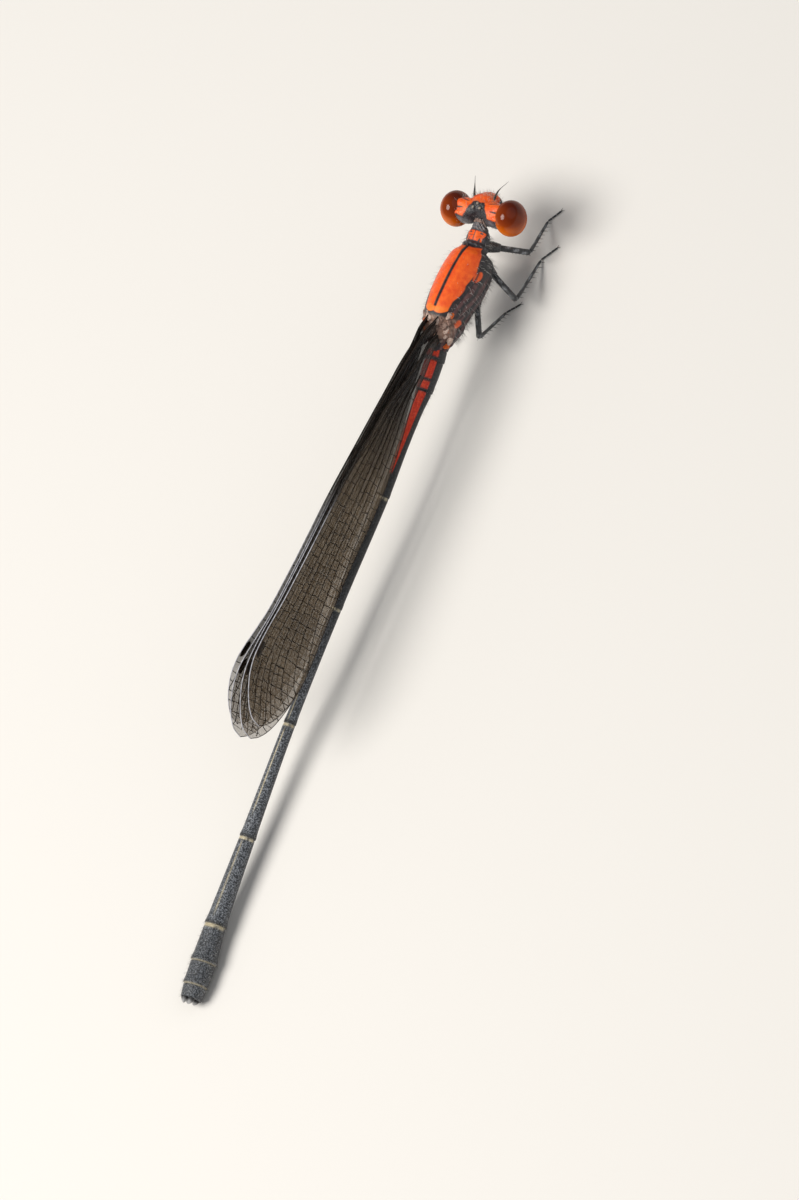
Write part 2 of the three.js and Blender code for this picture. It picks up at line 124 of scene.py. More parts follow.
half = TABLE_SIZE / 2
table_mesh = bpy.data.meshes.new("table")
table_corners = [(-half, -half, 0), (half, -half, 0), (half, half, 0), (-half, half, 0)]
table_mesh.from_pydata(table_corners, [], [(0, 1, 2, 3)])
laminate = bpy.data.materials.new("laminate")
laminate.use_nodes = True
laminate_shader = laminate.node_tree.nodes["Principled BSDF"]
laminate_shader.inputs["Base Color"].default_value = TABLE_COLOUR
laminate_shader.inputs["Roughness"].default_value = TABLE_ROUGHNESS
table_mesh.materials.append(laminate)
table = bpy.data.objects.new("table", table_mesh)
bpy.context.collection.objects.link(table)

# Head capsule
# The hard shell between the eyes: brow, upper lip, jaws and chin as swellings of one plate of
# cuticle, with three small simple eyes on top. It is moulded as one skin round soft ellipsoids.
HEAD_AT = np.array([0.0, -3.52, 3.7])
HEAD_TURN = np.radians(2.9)
HEAD_MIDDLE = np.array([0.0, -0.05, 0.0])
HEAD_SWELLINGS = [
    ((0.0, 0.0, -0.1), (1.02, 0.44, 0.66)),
    ((0.0, -0.14, 0.46), (0.6, 0.36, 0.34)),
    ((0.68, -0.02, 0.44), (0.7, 0.46, 0.34)),
    ((-0.68, -0.02, 0.44), (0.7, 0.46, 0.34)),
    ((0.86, 0.36, 0.1), (0.6, 0.26, 0.54)),
    ((-0.86, 0.36, 0.1), (0.6, 0.26, 0.54)),
    ((0.0, -0.42, 0.26), (0.66, 0.46, 0.42)),
    ((0.0, -0.74, -0.02), (0.58, 0.34, 0.26)),
    ((0.0, -0.76, -0.38), (0.5, 0.34, 0.24)),
    ((0.4, -0.5, -0.46), (0.26, 0.34, 0.3)),
    ((-0.4, -0.5, -0.46), (0.26, 0.34, 0.3)),
    ((0.0, -0.18, -0.7), (0.46, 0.54, 0.26)),
    ((0.95, -0.12, 0.54), (0.34, 0.24, 0.26)),
    ((-0.95, -0.12, 0.54), (0.34, 0.24, 0.26)),
    ((0.98, 0.34, 0.42), (0.4, 0.18, 0.26)),
    ((-0.98, 0.34, 0.42), (0.4, 0.18, 0.26)),
    ((0.0, -0.16, 0.8), (0.09, 0.09, 0.08)),
    ((0.17, 0.04, 0.78), (0.09, 0.09, 0.08)),
    ((-0.17, 0.04, 0.78), (0.09, 0.09, 0.08)),
]
HEAD_SOFTNESS = 8.0
HEAD_GRID = (150, 160)
NOISE_EDGES = (0.32, 0.68)
NOISE_DETAIL = 4.0
DENT_STRENGTH = 0.8
SIMPLE_EYES = [(0.0, -0.18, 0.87), (0.19, 0.04, 0.85), (-0.19, 0.04, 0.85)]


def ramp(value, low, high):
    """Nought below low, one above high, and a smooth cubic between them."""
    share = np.clip((value - low) / (high - low), 0.0, 1.0)
    return share * share * (3.0 - 2.0 * share)


def blob(x, y, middle, radii, edge=0.25):
    """One inside an ellipse of those radii, nought outside, with a soft edge that wide in radii."""
    reach = np.hypot((x - middle[0]) / radii[0], (y - middle[1]) / radii[1])
    return 1.0 - ramp(reach, 1.0 - edge / 2, 1.0 + edge / 2)


def unit(vectors):
    """The vectors divided by their own lengths."""
    return vectors / np.linalg.norm(vectors, axis=-1, keepdims=True)


def ball_grid(margin, rows, columns):
    """Tilt, turn and unit direction at each point of a grid over a ball whose axis is x. The grid stays
    clear of both poles by the margin, in radians."""
    tilt, swing = np.meshgrid(
        np.linspace(margin, np.pi - margin, rows),
        np.linspace(0, 2 * np.pi, columns, endpoint=False),
        indexing="ij",
    )
    directions = np.stack([np.cos(tilt), np.sin(tilt) * np.cos(swing), np.sin(tilt) * np.sin(swing)], -1)
    return tilt, swing, directions


def loft(rings):
    """Points and faces of closed skins: rings[b, i, j] is point j of ring i of skin b. Neighbouring rings
    are joined by four-sided faces, each end is closed by a fan round its middle, and a skin whose
    faces enclose a negative volume has them turned round."""
    skins, count, around, _ = rings.shape
    points = np.concatenate([rings.reshape(skins, -1, 3), rings[:, [0, -1]].mean(axis=2)], axis=1)
    i, j = np.mgrid[: count - 1, :around]
    k = (j + 1) % around
    quads = np.stack([i * around + j, i * around + k, (i + 1) * around + k, (i + 1) * around + j], -1)
    quads = quads.reshape(-1, 4)
    j, k = np.arange(around), (np.arange(around) + 1) % around
    hub, last = np.full(around, count * around), (count - 1) * around
    fans = np.concatenate([np.stack([hub, k, j], -1), np.stack([hub + 1, last + j, last + k], -1)])
    triangles = np.concatenate([quads[:, :3], quads[:, [0, 2, 3]], fans])
    a, b, c = (points[:, triangles[:, n]] for n in range(3))
    inside_out = (np.cross(a, b) * c).sum(axis=(1, 2)) < 0
    offset = (np.arange(skins) * points.shape[1])[:, None, None]
    quads, fans = quads[None] + offset, fans[None] + offset
    quads = np.where(inside_out[:, None, None], quads[..., ::-1], quads).reshape(-1, 4)
    fans = np.where(inside_out[:, None, None], fans[..., ::-1], fans).reshape(-1, 3)
    return points.reshape(-1, 3), [*quads.tolist(), *fans.tolist()]


def to_points(values, rings):
    """A value for each ring point, followed for each skin by those of its two end middles."""
    skins, count, around, _ = rings.shape
    values = np.asarray(values, float)
    values = np.broadcast_to(values, (skins, count, around) + values.shape[3:])
    flat = values.reshape((skins, count * around) + values.shape[3:])
    ends = values[:, [0, -1]].mean(axis=2)
    return np.concatenate([flat, ends], axis=1).reshape((-1,) + values.shape[3:])


def make_piece(name, parts, material, replaced=(), marks=None, patches=None):
    """One object from stacks of rings in millimetres, in the model's own frame. marks holds a value for
    each ring point of each part, by attribute name, and patches their place on the OFBake map."""
    points, faces, start = [], [], 0
    for rings in parts:
        part_points, part_faces = loft(rings)
        faces += [[index + start for index in face] for face in part_faces] if start else part_faces
        points.append(part_points)
        start += len(part_points)
    mesh = bpy.data.meshes.new(name)
    mesh.from_pydata((np.concatenate(points) * MM + ORIGIN).tolist(), [], faces)
    mesh.polygons.foreach_set("use_smooth", np.ones(len(mesh.polygons), bool))
    for mark, values in (marks or {}).items():
        layer = mesh.attributes.new(mark, "FLOAT", "POINT")
        layer.data.foreach_set("value", np.concatenate([to_points(v, r) for v, r in zip(values, parts)]))
    if patches is not None:
        corners = np.empty(len(mesh.loops), np.int32)
        mesh.loops.foreach_get("vertex_index", corners)
        places = np.concatenate([to_points(v, r) for v, r in zip(patches, parts)])
        mesh.uv_layers.new(name="OFBake").data.foreach_set("uv", places[corners].ravel())
    mesh.materials.append(material)
    made = bpy.data.objects.new(name, mesh)
    bpy.context.collection.objects.link(made)
    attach(made, "root")
    if replaced:
        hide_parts(*replaced)
    return made


def new_material(name):
    """A material, its node tree and the socket that gives Object coordinates in it."""
    material = bpy.data.materials.new(name)
    material.use_nodes = True
    tree = material.node_tree
    return material, tree, tree.nodes.new("ShaderNodeTexCoord").outputs["Object"]


def feed(tree, node, **inputs):
    """Gives a node its inputs, each named with _ for a blank: a socket is linked, a value is set."""
    for name, value in inputs.items():
        socket = node.inputs[name.replace("_", " ")]
        if isinstance(value, bpy.types.NodeSocket):
            tree.links.new(value, socket)
        else:
            socket.default_value = value
    return node


def add_node(tree, kind, **inputs):
    """A new node of that kind, fed with the inputs."""
    return feed(tree, tree.nodes.new(kind), **inputs)


def attribute(tree, name):
    """The socket that gives the mesh attribute of that name."""
    reader = tree.nodes.new("ShaderNodeAttribute")
    reader.attribute_name = name
    return reader.outputs["Fac"]


def mixed(tree, share, under, over):
    """The colour under, with the colour over laid on it by share. Each is a socket or three numbers."""
    mix = tree.nodes.new("ShaderNodeMix")
    mix.data_type = "RGBA"
    tree.links.new(share, mix.inputs[0])
    for socket, colour in ((mix.inputs[6], under), (mix.inputs[7], over)):
        if isinstance(colour, tuple):
            socket.default_value = (*colour, 1.0)
        else:
            tree.links.new(colour, socket)
    return mix.outputs[2]


def shell_finish(
    name,
    ground,
    layers=(),
    grain=5000.0,
    fine=26000.0,
    shine=(0.3, 0.5),
    relief=0.01,
    contrast=NOISE_EDGES,
    specular=0.5,
):
    """Cuticle on Object coordinates. A broad noise mixes the two ground tones, each layer lays its two
    tones over them as far as its attribute says, and a fine noise roughens and dents the surface.
    grain and fine are cells per metre, relief is in millimetres, and contrast is the pair of noise
    values between which the first tone gives way to the second."""
    material, tree, place = new_material(name)

    def noise(scale, low, high, edges=NOISE_EDGES):
        cloud = add_node(tree, "ShaderNodeTexNoise", Scale=scale, Detail=NOISE_DETAIL, Vector=place)
        spread = add_node(tree, "ShaderNodeMapRange", Value=cloud.outputs["Fac"], To_Min=low, To_Max=high)
        return feed(tree, spread, From_Min=edges[0], From_Max=edges[1]).outputs["Result"]

    broad = noise(grain, 0.0, 1.0, contrast)
    colour = mixed(tree, broad, *ground)
    for mark, tones in layers:
        colour = mixed(tree, attribute(tree, mark), colour, mixed(tree, broad, *tones))
    dents = noise(fine, 0.0, 1.0)
    bump = add_node(tree, "ShaderNodeBump", Strength=DENT_STRENGTH, Distance=relief * MM, Height=dents)
    feed(
        tree,
        tree.nodes["Principled BSDF"],
        Base_Color=colour,
        Roughness=noise(fine / 3, *shine),
        Normal=bump.outputs["Normal"],
        Specular_IOR_Level=specular,
    )
    return material


def head_to_model(points):
    """From the head's own frame to the model's: turned about the upright by HEAD_TURN, then moved."""
    cosine, sine = np.cos(HEAD_TURN), np.sin(HEAD_TURN)
    turned = np.array([[cosine, -sine, 0.0], [sine, cosine, 0.0], [0.0, 0.0, 1.0]])
    return points @ turned.T + HEAD_AT


def outermost(directions, low, high, steps):
    """The last radius along each direction from HEAD_MIDDLE where the swellings' soft sum is over one.
    Each adds e to the power of HEAD_SOFTNESS times one less its squared distance in its radii."""
    radii = np.linspace(low, high, steps)
    total = np.zeros(directions.shape[:2] + (steps,))
    for centre, reach in HEAD_SWELLINGS:
        spots = (HEAD_MIDDLE - centre) + directions[:, :, None] * radii[:, None]
        total += np.exp(HEAD_SOFTNESS * (1.0 - ((spots / reach) ** 2).sum(axis=-1)))
    inside = total >= 1.0
    last = steps - 1 - np.argmax(inside[..., ::-1], axis=-1)
    after = np.minimum(last + 1, steps - 1)
    level = np.take_along_axis(np.log(total + 1e-9), last[..., None], -1)[..., 0]
    beyond = np.take_along_axis(np.log(total + 1e-9), after[..., None], -1)[..., 0]
    share = np.clip(level / np.maximum(level - beyond, 1e-6), 0.0, 1.0)
    return radii[last] + share * (radii[1] - radii[0])


_, _, head_directions = ball_grid(0.02, *HEAD_GRID)
head_points = HEAD_MIDDLE + head_directions * outermost(head_directions, 0.15, 1.9, 180)[..., None]
x, y, z = head_points[..., 0], head_points[..., 1], head_points[..., 2]
wide = np.abs(x)
wobble = 0.03 * np.sin(11 * x + 3) * np.sin(9 * y + 1) + 0.015 * np.sin(23 * x) * np.sin(19 * y)
above = ramp(z, 0.1, 0.3)
saddle = ramp(0.3 + 0.5 * (y + 0.32) - wide + wobble, 0.0, 0.05) * ramp(y + 0.3 + wobble, 0.0, 0.05)
slit = blob(wide, y, (0.92, 0.12), (0.2, 0.04), 0.5)
crease = blob(wide, y + 0.25 * (wide - 0.75), (0.78, -0.3), (0.26, 0.03), 0.6)
cheeks = ramp(0.5 - y + wobble, 0.0, 0.06) * ramp(y + 0.45, 0.0, 0.05) * above
block = cheeks * (1 - saddle) * (1 - slit) * (1 - crease)
brow = ramp(-y - 0.33 + wobble, 0.0, 0.05) * ramp(z, -0.15, 0.0) * (1 - crease)
lip = blob(x, z, (0.0, -0.36), (0.34, 0.16)) * ramp(-y, 0.7, 0.8)
head_orange = np.clip(np.maximum(block, brow) + 0.7 * lip, 0.0, 1.0)
head_dust = ramp(y, 0.42, 0.6) * ramp(z, -0.5, 0.2) * (1 - head_orange)
# A pale yellow edge at the back of the head beside each eye: painted rim light, as if lit from behind.
head_painted_rim_light = ramp(wide, 1.16, 1.3) * ramp(y, 0.42, 0.55)
simple = np.zeros_like(x)
for spot in SIMPLE_EYES:
    simple = np.maximum(simple, 1.0 - ramp(np.linalg.norm(head_points - spot, axis=-1), 0.05, 0.09))
head_shell = shell_finish(
    "head_cuticle",
    ((0.010, 0.010, 0.012), (0.035, 0.033, 0.040)),
    [
        ("orange", ((0.86, 0.080, 0.006), (0.95, 0.165, 0.016))),
        ("dust", ((0.055, 0.055, 0.065), (0.17, 0.17, 0.19))),
        # Painted rim light: a pale edge at the back of the head beside each eye.
        ("painted_rim_light", ((0.45, 0.36, 0.18), (0.65, 0.55, 0.32))),
        ("simple", ((0.16, 0.12, 0.09), (0.40, 0.34, 0.27))),
    ],
    shine=(0.22, 0.42),
)
head_marks = {"orange": head_orange, "dust": head_dust, "painted_rim_light": head_painted_rim_light, "simple": simple}
make_piece(
    "head_capsule",
    [head_to_model(head_points)[None]],
    head_shell,
    ("head",),
    {mark: [values[None]] for mark, values in head_marks.items()},
)

# Compound eyes
# Two clear, glossy domes of thousands of six-sided lenses, set into the sides of the capsule, dark
# red-brown above and orange below: the dark patch, turned nearly towards the camera, and the orange
# glow round it are painted light, partly the eye's own darker top. Each is an ellipsoid with a fine raised
# lens pattern.
EYE_SPACING = 1.47
EYE_RADII = np.array([0.7, 0.84, 0.92])
EYE_GRID = (110, 160)
# The direction in which both eyes are painted darkest, nearly towards the camera.
EYE_DARKEST_FACING = (-0.45, -0.3, 0.8)
LENSES_PER_METRE = 34000.0
LENS_HEIGHT = 0.003

eye_finish, eye_tree, eye_place = new_material("eye_lenses")
# Dark patch to orange glow: painted shade and painted glow on the eye, partly its own darker top.
eye_ramp = add_node(eye_tree, "ShaderNodeValToRGB", Fac=attribute(eye_tree, "tone_and_painted_glow"))
eye_ramp.color_ramp.elements[0].color = (0.10, 0.010, 0.001, 1.0)
eye_ramp.color_ramp.elements[1].color = (0.95, 0.33, 0.03, 1.0)
for stop, tone in ((0.28, (0.24, 0.034, 0.002, 1.0)), (0.55, (0.58, 0.115, 0.006, 1.0))):
    eye_ramp.color_ramp.elements.new(stop).color = tone
lens_node = add_node(eye_tree, "ShaderNodeTexVoronoi", Scale=LENSES_PER_METRE, Vector=eye_place)
lenses = lens_node.outputs["Distance"]
lens_shine = add_node(eye_tree, "ShaderNodeMapRange", Value=lenses, To_Min=0.22, To_Max=0.38)
lens_bump = add_node(eye_tree, "ShaderNodeBump", Strength=0.35, Distance=LENS_HEIGHT * MM, Height=lenses)
lens_bump.invert = True
feed(
    eye_tree,
    eye_tree.nodes["Principled BSDF"],
    Base_Color=eye_ramp.outputs["Color"],
    Roughness=lens_shine.outputs["Result"],
    Normal=lens_bump.outputs["Normal"],
    Coat_Weight=0.55,
    Coat_Roughness=0.03,
    Specular_IOR_Level=0.0,
)

for side, flank in ((1, "left"), (-1, "right")):
    tilt, swing, ball = ball_grid(0.01, *EYE_GRID)
    eye_points = ball * EYE_RADII + [side * EYE_SPACING, 0.0, 0.0]
    # Darkest towards a direction near the camera's and orange away from it: painted light.
    rise = ball @ unit(np.array(EYE_DARKEST_FACING))
    make_piece(
        f"eye_dome_{flank}",
        [head_to_model(eye_points)[None]],
        eye_finish,
        (f"eye_{flank}",),
        {"tone_and_painted_glow": [(0.5 - 0.5 * rise + 0.06 * np.sin(5 * swing) * np.sin(tilt))[None]]},
    )

# Feelers
# A short thick base joint, a longer second joint and a bristle that thins to a point, each a tube
# of dark cuticle that comes out of the capsule in front of the simple eyes.
FEELER_PATH = [
    (0.48, -0.46, 0.36),
    (0.56, -0.74, 0.46),
    (0.63, -1.02, 0.5),
    (0.72, -1.24, 0.47),
    (0.9, -1.62, 0.36),
]
FEELER_RADII = [0.06, 0.055, 0.032, 0.015, 0.006]
FEELER_STEPS = 40
FEELER_SIDES = 14


def curve(rows, x):
    """A smooth line through rows sorted by their first number: a cubic between neighbours whose slope at
    each row is that of the line between the rows on either side. Gives the other numbers at x."""
    rows = np.asarray(rows, float)
    knots, values = rows[:, 0], rows[:, 1:]
    before = np.maximum(np.arange(len(knots)) - 1, 0)
    after = np.minimum(np.arange(len(knots)) + 1, len(knots) - 1)
    slopes = (values[after] - values[before]) / (knots[after] - knots[before])[:, None]
    x = np.clip(np.asarray(x, float), knots[0], knots[-1])
    n = np.clip(np.searchsorted(knots, x, side="right") - 1, 0, len(knots) - 2)
    width = (knots[n + 1] - knots[n])[..., None]
    u = (x - knots[n])[..., None] / width
    return (
        (2 * u**3 - 3 * u**2 + 1) * values[n]
        + (u**3 - 2 * u**2 + u) * width * slopes[n]
        + (3 * u**2 - 2 * u**3) * values[n + 1]
        + (u**3 - u**2) * width * slopes[n + 1]
    )


def tube(paths, radii, sides, reference=(0.0, 0.0, 1.0)):
    """Rings of a tube round each path: a circle of the radius at each point, square to the path, its
    first spoke square to the path and to the reference. paths[b, i] is point i of tube b."""
    forward = unit(np.gradient(paths, axis=1))
    spoke = unit(np.cross(forward, np.asarray(reference, float)))
    other = np.cross(forward, spoke)
    angle = np.linspace(0, 2 * np.pi, sides, endpoint=False)
    circle = spoke[:, :, None] * np.cos(angle)[:, None] + other[:, :, None] * np.sin(angle)[:, None]
    return paths[:, :, None] + circle * np.asarray(radii, float)[..., None, None]


feeler_tones = ((0.012, 0.011, 0.012), (0.05, 0.045, 0.04))
feeler_finish = shell_finish("feeler_cuticle", feeler_tones, shine=(0.35, 0.5))
for side, flank in ((1, "left"), (-1, "right")):
    steps = np.linspace(0, len(FEELER_PATH) - 1, FEELER_STEPS)
    joints = np.array(FEELER_PATH) * [side, 1, 1]
    line = curve(np.column_stack([np.arange(len(joints)), joints, FEELER_RADII]), steps)
    make_piece(
        f"feeler_{flank}",
        [head_to_model(tube(line[None, :, :3], line[None, :, 3], FEELER_SIDES))],
        feeler_finish,
        (f"antenna_{flank}",),
    )

# Thorax skin
# Neck, fore-thorax with its collar and lobes, and the deep box of the hind thorax: plates of cuticle
# joined along seams, black with two wide orange bands on the back, a fine keel between them.
TRUNK_STATIONS = [
    (-3.46, 3.94, 0.1, 0.1),
    (-3.32, 3.87, 0.18, 0.17),
    (-3.1, 3.71, 0.29, 0.23),
    (-2.97, 3.58, 0.34, 0.28),
    (-2.82, 3.45, 0.41, 0.35),
    (-2.68, 3.34, 0.5, 0.43),
    (-2.36, 3.22, 0.6, 0.52),
    (-2.12, 3.22, 0.57, 0.5),
    (-2.0, 3.26, 0.65, 0.57),
    (-1.9, 3.28, 0.64, 0.57),
    (-1.78, 3.33, 0.66, 0.62),
    (-1.54, 3.3, 0.94, 0.9),
    (-1.1, 3.24, 1.1, 1.14),
    (-0.5, 3.22, 1.18, 1.28),
    (0.3, 3.28, 1.18, 1.3),
    (1.1, 3.38, 1.1, 1.22),
    (1.8, 3.36, 0.98, 1.08),
    (2.45, 3.16, 0.8, 0.86),
    (2.92, 2.96, 0.5, 0.5),
    (3.2, 2.86, 0.4, 0.4),
]
THORAX_SKEW = 0.34
BAND_EDGE = [(-1.8, 66), (-1.2, 62), (-0.8, 61), (-0.1, 52), (0.3, 51), (0.9, 41), (1.4, 38)]
SEAMS = [
    [(-1.6, 66), (-0.6, 66), (0.4, 57), (1.6, 47)],
    [(-0.9, 104), (0.2, 98), (1.2, 84), (1.9, 66)],
    [(0.1, 128), (1.1, 114), (2.2, 92)],
]
SEAM_HALF_WIDTH = 2.6
PLUM_HALF_WIDTH = 8
TRUNK_GRID = (330, 240)
NECK_END = -2.7
COLLAR_FRONT, COLLAR_BACK = -2.66, -2.2

stations = np.linspace(TRUNK_STATIONS[0][0], TRUNK_STATIONS[-1][0], TRUNK_GRID[0])
degrees = np.linspace(-180, 180, TRUNK_GRID[1], endpoint=False)
level, half_width, half_height = (column[:, None] for column in curve(TRUNK_STATIONS, stations).T)
station, degree = np.meshgrid(stations, degrees, indexing="ij")
off_middle = np.abs(degree)
skew = THORAX_SKEW * ramp(station, -2.0, -1.2)
egg = 0.05 + 0.07 * ramp(station, -2.0, -1.5)
seam = np.zeros_like(station)
for line in SEAMS:
    course = curve(line, stations)[:, 0][:, None]
    begin, end = line[0][0], line[-1][0]
    reach = ramp(station, begin - 0.1, begin + 0.2) * ramp(-station, -end - 0.2, -end + 0.1)
    seam = np.maximum(seam, np.exp(-(((off_middle - course) / SEAM_HALF_WIDTH) ** 2)) * reach)
on_back = ramp(station, -1.85, -1.7) * ramp(-station, -1.6, -1.2)
keel = np.exp(-((degree / 2.2) ** 2)) * on_back
hollow = np.exp(-(((station - 1.95) / 0.3) ** 2)) * (1 - ramp(off_middle, 10, 60))
lumps = np.sin(9 * station + 1) * np.sin(degree / 11) + np.sin(15 * station) * np.sin(degree / 7 + 2)
lumps = lumps * ramp(station, 1.4, 1.9)
lobes = np.cos(np.radians(degree) * 5) * ramp(station, NECK_END, -2.6) * ramp(-station, 2.1, 2.3)
folds = np.sin(38 * station + 2 * np.sin(np.radians(degree) * 4)) + np.sin(degree / 5 + 20 * station)
folds = folds * ramp(-station, -NECK_END, 2.85)
relief = 0.045 * keel - 0.035 * seam - 0.07 * hollow + 0.03 * lumps + 0.025 * lobes + 0.018 * folds
angle = np.radians(degree)
sine, cosine = np.sin(angle), np.cos(angle)
lift = (half_height + relief) * cosine
sideways = (half_width + relief) * sine * (1 - egg * cosine)
trunk = np.stack([sideways, station + skew * lift, level + lift], -1)

band_edge = curve(BAND_EDGE, stations)[:, 0][:, None]
ragged = 0.7 * np.sin(6 * station) + 0.4 * np.sin(17 * station + off_middle / 4)
mid_line = 3.6 + 3.0 * ramp(station, -1.3, -1.75)
in_band = np.maximum(ramp(off_middle - mid_line, 0.0, 1.6), ramp(station, 1.16, 1.24))
in_band = in_band * ramp(band_edge - off_middle + ragged, 0.0, 2.5)
front_end = ramp(station + 0.12 * ramp(off_middle, 20, 70), -1.82, -1.74)
hind_end = ramp(1.52 - 0.13 * ((off_middle - 15) / 20) ** 2 - station, 0.0, 0.06)
band = in_band * front_end * hind_end
side_lobe = blob(off_middle + 10 * (station + 0.62), station, (68.0, -0.62), (9.5, 0.28))
flank_spot = blob(off_middle, station, (76.0, 1.84), (9.0, 0.2)) * 0.8
collar = ramp(54 + 9 * np.sin(9 * station) - off_middle, 0, 4)
collar = collar * ramp(station, COLLAR_FRONT, -2.6) * ramp(-station, 2.14, -COLLAR_BACK)
notch = blob(off_middle, station, (31.0, -2.2), (5.0, 0.13))
notch = notch + blob(off_middle, station, (0.0, -2.4), (2.6, 0.3))
notch = notch + blob(off_middle, station, (36.0, -2.56), (10.0, 0.04))
collar = collar * (1 - np.clip(notch, 0, 1))
trunk_orange = np.clip(band + side_lobe + flank_spot + collar, 0, 1) * (1 - 0.9 * seam)
yellow = band * ramp(station, 1.02, 1.3) * 0.7
past_band = off_middle - band_edge
plum = np.zeros_like(station)
for plum_middle, plum_front, strength in (
    (15, ramp(station, -0.45, -0.15), 1 - seam),
    (40, ramp(station, -0.9, -0.4), 1 - seam),
    (66, ramp(station, -0.9, -0.4), 0.7),
):
    stripe = np.exp(-(((past_band - plum_middle) / PLUM_HALF_WIDTH) ** 4))
    plum = np.maximum(plum, stripe * plum_front * strength)
tan = ramp(station, 1.55, 1.75) * (1 - ramp(station, 2.5, 2.8)) * (1 - ramp(off_middle, 70, 88)) * 0.8
tan = np.maximum(tan, ramp(-station, 2.98, 3.04) * (1 - ramp(off_middle, 60, 100)))
neck_waves = np.sin(52 * station + 2 * np.sin(degree / 9)) * np.sin(degree / 7 + 11 * station)
neck_spots = ramp(neck_waves, 0.15, 0.6)
tan = np.maximum(tan, neck_spots * ramp(-station, -NECK_END, 2.78) * (1 - ramp(off_middle, 70, 110)))
ring_edge = np.exp(-(((station + 1.97) / 0.05) ** 2)) * 0.5
ring_edge = ring_edge + ramp(-station, -COLLAR_FRONT, 2.74) * ramp(station, -3.02, -2.94) * 0.8
ring_edge = ring_edge * (0.45 + 0.55 * np.sin(31 * station + degree / 4))
dust = ramp(off_middle, 118, 140) * 0.5 + ring_edge + 0.25 * ramp(-station, 1.9, 2.1)
dust = np.clip(dust, 0, 1) * (1 - trunk_orange)
trunk_finish = shell_finish(
    "trunk_cuticle",
    ((0.006, 0.006, 0.008), (0.030, 0.028, 0.034)),
    [
        ("plum", ((0.06, 0.022, 0.024), (0.16, 0.07, 0.072))),
        ("tan", ((0.11, 0.055, 0.04), (0.42, 0.25, 0.18))),
        ("dust", ((0.06, 0.06, 0.07), (0.20, 0.20, 0.22))),
        ("orange", ((0.84, 0.075, 0.004), (0.98, 0.150, 0.010))),
        ("yellow", ((0.95, 0.20, 0.012), (1.0, 0.29, 0.02))),
    ],
    grain=4200.0,
    shine=(0.28, 0.5),
)
trunk_marks = {"plum": plum, "tan": tan, "dust": dust, "orange": trunk_orange, "yellow": yellow}
make_piece(
    "thorax_skin",
    [trunk[None]],
    trunk_finish,
    ("prothorax", "thorax"),
    {mark: [values[None]] for mark, values in trunk_marks.items()},
)

# Wing hinge plates
# Small knobbly plates of tan and orange cuticle, packed round the four wing roots and bedded in the
# soft skin of the thorax. Each is a lumpy ellipsoid, and they are drawn from a seeded scatter.
hinge_draw = np.random.default_rng(11)
HINGE_PLATES = 46
HINGE_GRID = (14, 18)
ORANGE_SHARE = 0.34
tilt, swing, ball = ball_grid(0.05, *HINGE_GRID)
plate_at = hinge_draw.uniform((-0.72, 1.62, 0.0), (0.72, 2.92, 1.0), (HINGE_PLATES, 3))
roof = 4.42 - 0.36 * np.abs(plate_at[:, 0]) ** 1.6 * 1.6 - 1.15 * ramp(plate_at[:, 1], 2.1, 3.1)
plate_at[:, 2] = roof - 0.1 + 0.1 * plate_at[:, 2]
plate_size = hinge_draw.uniform((0.09, 0.1, 0.07), (0.2, 0.24, 0.14), (HINGE_PLATES, 3))
dents = 1 + 0.16 * np.sin(4 * swing + 2 * tilt) * np.sin(3 * tilt)
plates = plate_at[:, None, None] + plate_size[:, None, None] * (ball * dents[..., None])[None]
plate_orange = (hinge_draw.uniform(0, 1, HINGE_PLATES) > 1 - ORANGE_SHARE).astype(float)[:, None, None]
plate_pale = ramp(hinge_draw.uniform(0, 1, HINGE_PLATES), 0.2, 0.9)[:, None, None]
hinge_finish = shell_finish(
    "hinge_cuticle",
    ((0.05, 0.025, 0.02), (0.36, 0.22, 0.17)),
    [
        ("pale", ((0.40, 0.27, 0.22), (0.85, 0.66, 0.56))),
        ("orange", ((0.75, 0.10, 0.010), (0.98, 0.22, 0.03))),
    ],
    grain=15000.0,
    relief=0.03,
    shine=(0.3, 0.55),
)
plate_marks = {"orange": [plate_orange], "pale": [plate_pale]}
make_piece("wing_hinge_plates", [plates], hinge_finish, (), plate_marks)

# Wings
# Four narrow blades of smoky-brown film, each two skins of cuticle pressed together, folded upright
# over the back and darker towards the root, with painted shade along the front strip of the three far
# wings and only a little on the near hind right one. Each film is one thin closed sheet, pleated in front.
WING_ROOT = np.array([0.0, 2.0, 4.36])
WING_LEAN = np.radians(14.0)
WING_STAGGER = 0.56
TRAILING_SHARE = 0.3
ROOT_SINK = 0.4
FILM_THICKNESS = 0.016
FILM_GRID = (170, 56)
TIP_CROWDING = 1.7
PLEAT = 0.03
WINGS = {
    "fore": {
        "start": -0.35,
        "length": 22.0,
        "root_side": 0.27,
        "root_drop": 0.0,
        "plane": 0.14,
        "fan": 0.5,
        "lead": (0.0, 0.0),
        "spot": (0.85, 0.885),
    },
    "hind": {
        "start": 0.45,
        "length": 20.6,
        "root_side": 0.3,
        "root_drop": 0.25,
        "plane": 0.54,
        "fan": 0.7,
        "lead": (0.05, -0.1),
        "spot": (0.825, 0.865),
    },
}
LEADING_EDGE = [
    (0, 0.28), (0.17, 0.98), (0.3, 1.53), (0.45, 2.16), (0.6, 2.68), (0.72, 3.13), (0.8, 3.5), (0.86, 3.68),
    (0.9, 3.6), (0.93, 3.38), (0.96, 3.05), (0.98, 2.72), (0.992, 2.4), (1, 1.9),
]
TRAILING_EDGE = [
    (0, -0.32), (0.08, -0.18), (0.17, -0.3), (0.24, -0.52), (0.3, -0.62), (0.38, -0.66), (0.48, -0.54),
    (0.6, -0.28), (0.73, -0.12), (0.8, -0.08), (0.86, 0.02), (0.9, 0.2), (0.94, 0.55), (0.97, 0.95),
    (0.99, 1.4), (1, 1.84),
]
NODUS = 0.375


